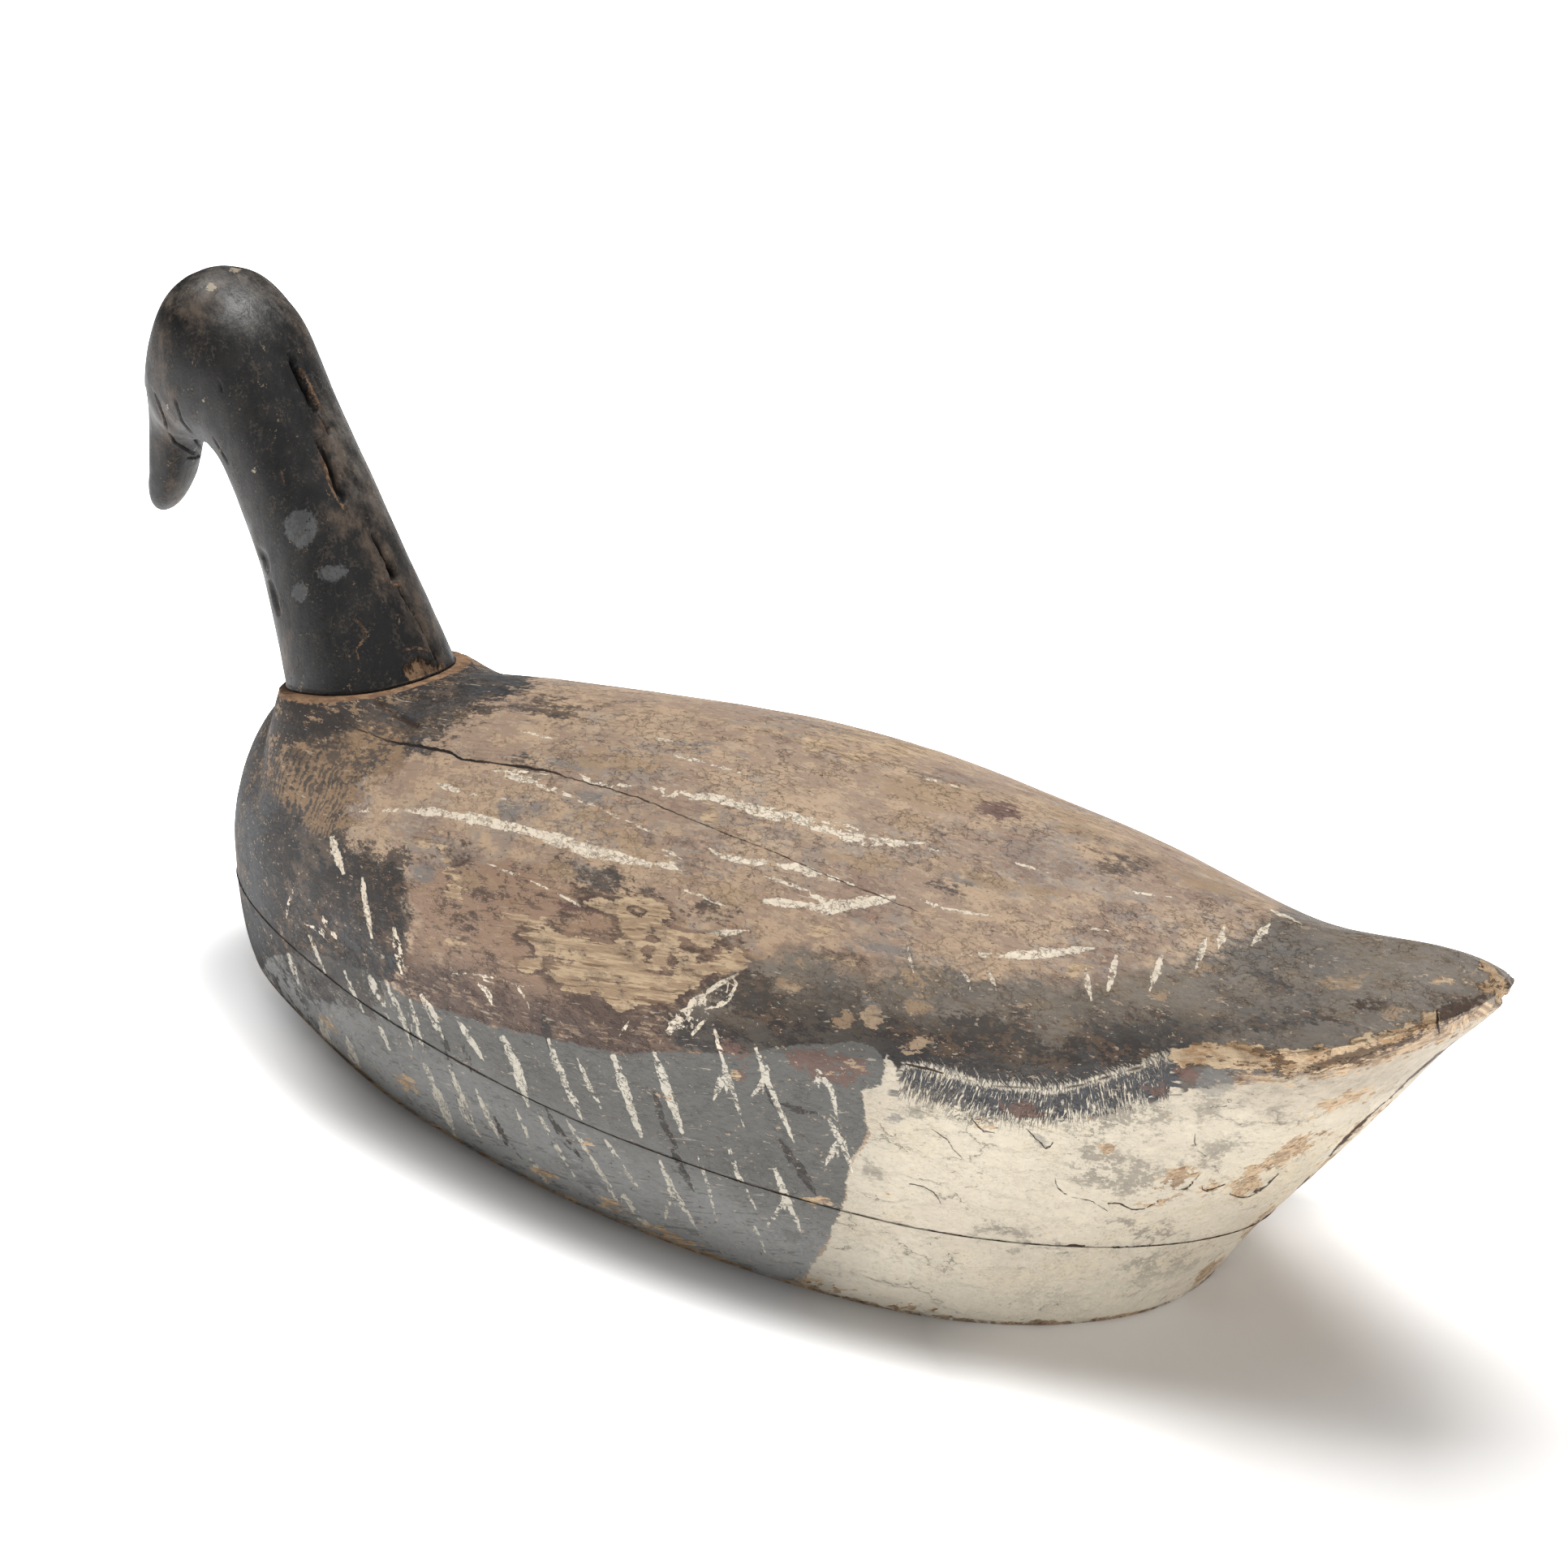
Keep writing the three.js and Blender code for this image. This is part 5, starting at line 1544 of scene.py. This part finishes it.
def carved_head(finish):
    """The head with its splits, cracks and chips cut in where the photograph shows them."""
    points, faces, _ = welded(head_rows()[:, ::-1])
    normals = vertex_normals(points, faces)
    places, pixel = photo_place(points)
    to_mm = pixel / MM
    sight = np.array(camera_place) - points
    facing = np.sum(normals * sight, 1) / np.linalg.norm(sight, axis=1)
    shown = smooth_step(facing, 0.02, 0.2)
    depth = HEAD_HOLLOWS * (1 + noise(points, 16 * MM, 31))
    depth += HEAD_FACETS * (1 + noise(points * (1, 1, 0.4), 5 * MM, 32))
    slot = np.zeros(len(points))
    for width, deep, line in HEAD_SLOTS + BILL_CRACKS:
        gap, _, share = along_line(places, line)
        open_width = width * (0.75 + 0.35 * noise(points, 4 * MM, 33))
        cut = np.exp(-(gap / open_width) ** 4) * shown * np.sin(np.pi * np.clip(share, 0.04, 0.96)) ** 0.35
        depth += deep * cut
        slot = np.maximum(slot, cut * min(1, deep / (3 * MM)) ** 0.3)
    bill_places, _ = photo_place(points * np.where(points[:, 1:2] < 0, [1, -1, 1], 1))
    edge = inside(bill_places, BILL) + 1.5 * noise(points, 5 * MM, 36)
    depth += BILL_SETBACK * smooth_step(edge, -1.5, 3)
    chip = inside(places, FOOT_CHIP)
    depth += HEAD_CHIPPED * smooth_step(chip + 3 * noise(points, 4 * MM, 34), -3, 4) * shown
    foot = NECK_FOOT_WORN * (1 + noise(points, 5 * MM, 35))
    plane = SEAT_Z - (points[:, 0] - SEAT_X) * np.tan(SEAT_TILT)
    over = points[:, 2] - plane
    depth += foot * np.clip(1 - over / NECK_FOOT_REACH, 0, 1) ** 2 * (over > 0.4 * MM)
    wood, _ = strokes_at(places, SLOT_WOOD, 0.3)
    wood_gap = np.where(facing > 0.05, (wood[:, 2] - wood[:, 1]) * to_mm, 20)
    hide = 40 * (1 - shown)
    spots = np.stack([in_spots(places, HEAD_GREY) * to_mm - hide, in_spots(places, HEAD_CREAM) * to_mm - hide,
                      in_spots(places, HEAD_RUBS_AND_EDGE_LIGHT) * to_mm], -1)
    marks = np.stack([wood_gap, slot, chip * to_mm - hide], -1)
    shine = np.zeros_like(spots)
    shine[:, 0] = in_spots(places, HEAD_SHEEN) * to_mm - hide
    moved = points - normals * depth[:, None]
    base = over < 0.35 * MM
    moved[base] = points[base]
    return made("head_and_neck", moved, faces, "head_paint", "head_neck", finish, spots=spots, marks=marks,
                shine=shine)


FLOOR_HALF = 9.0
AIR_LIGHT = 0.07

# Soft lights: name, distance, size and power
LIGHTS = (
    ("overhead_softbox", 1.7, 1.0, 33),
    ("front_softbox", 1.9, 1.1, 7),
    ("right_softbox", 2.0, 1.1, 9),
)


def studio():
    """A pale floor, soft lights and the camera. The floor glows away from the decoy, so that it is
    as white as the photograph's, and less by the tail, where the shadow falls."""
    mesh = bpy.data.meshes.new("floor")
    corners = [(-1, -1), (1, -1), (1, 1), (-1, 1)]
    mesh.from_pydata([(x * FLOOR_HALF, y * FLOOR_HALF, 0) for x, y in corners], [], [(0, 1, 2, 3)])
    paper = Finish("floor_paper")
    from_hull = paper.vector("LENGTH", paper.stretched(0.42, 1, 0), output="Value")
    from_tail = paper.vector("DISTANCE", paper.place, (TAIL_X, 0.03, 0), output="Value")
    glow = paper.step(from_hull, 0.112, 0.17) * paper.step(from_tail, 0.06, 0.16) * 1.2
    glow = glow + paper.step(from_hull, 0.11, 0.16) * 0.28
    ahead, _, _ = paper.parts(paper.place)
    glow = glow + paper.step(ahead, 0.1, 0.24) * paper.step(from_hull, 0.088, 0.114) * 0.53
    lit = paper.grey_of(glow)
    # Painted shadow: the floor's own colour is darker close round the hull, but not near the tail
    plain = paper.step(from_hull, 0.09, 0.145) * 0.4 + 0.5
    plain = paper.most(plain, paper.step(from_tail, 0.24, 0.14) * 0.95)
    tone = paper.add("CombineColor", None, {0: plain, 1: plain * 0.985, 2: plain * 0.975})
    mesh.materials.append(paper.finished(Base_Color=tone, Roughness=0.9, Emission_Color=lit,
                                         Emission_Strength=1.0))
    floor = bpy.data.objects.new("floor", mesh)
    bpy.context.scene.collection.objects.link(floor)
    world = bpy.data.worlds.new("studio")
    bpy.context.scene.world = world
    world.use_nodes = True
    world.node_tree.nodes["Background"].inputs["Color"].default_value = (1, 1, 1, 1)
    world.node_tree.nodes["Background"].inputs["Strength"].default_value = AIR_LIGHT
    behind = -Vector((toward_camera.x, toward_camera.y, 0)).normalized()
    overhead = Vector((0, 0, 1)) + behind * 0.25 + camera_right * 0.02
    in_front = -behind + Vector((0, 0, 0.28))
    from_right = -behind * 0.6 + camera_right + Vector((0, 0, 0.35))
    for (name, distance, size, power), direction in zip(LIGHTS, (overhead, in_front, from_right)):
        lamp = bpy.data.lights.new(name, "AREA")
        lamp.size = size
        lamp.energy = power
        light = bpy.data.objects.new(name, lamp)
        light.location = AIM + direction.normalized() * distance
        light.rotation_euler = direction.to_track_quat("Z", "Y").to_euler()
        bpy.context.scene.collection.objects.link(light)
    lens = bpy.data.cameras.new("camera")
    lens.sensor_width = SENSOR_WIDTH
    lens.lens = FOCAL_PIXELS * SENSOR_WIDTH / PHOTO_SIZE
    camera = bpy.data.objects.new("camera", lens)
    camera.location = camera_place
    camera.rotation_euler = toward_camera.to_track_quat("Z", "Y").to_euler()
    bpy.context.scene.collection.objects.link(camera)
    bpy.context.scene.camera = camera
    bpy.context.scene.view_settings.view_transform = "Standard"


studio()
body_paint = body_finish()
upper_block(body_paint)
lower_board(body_paint)
carved_head(head_finish())
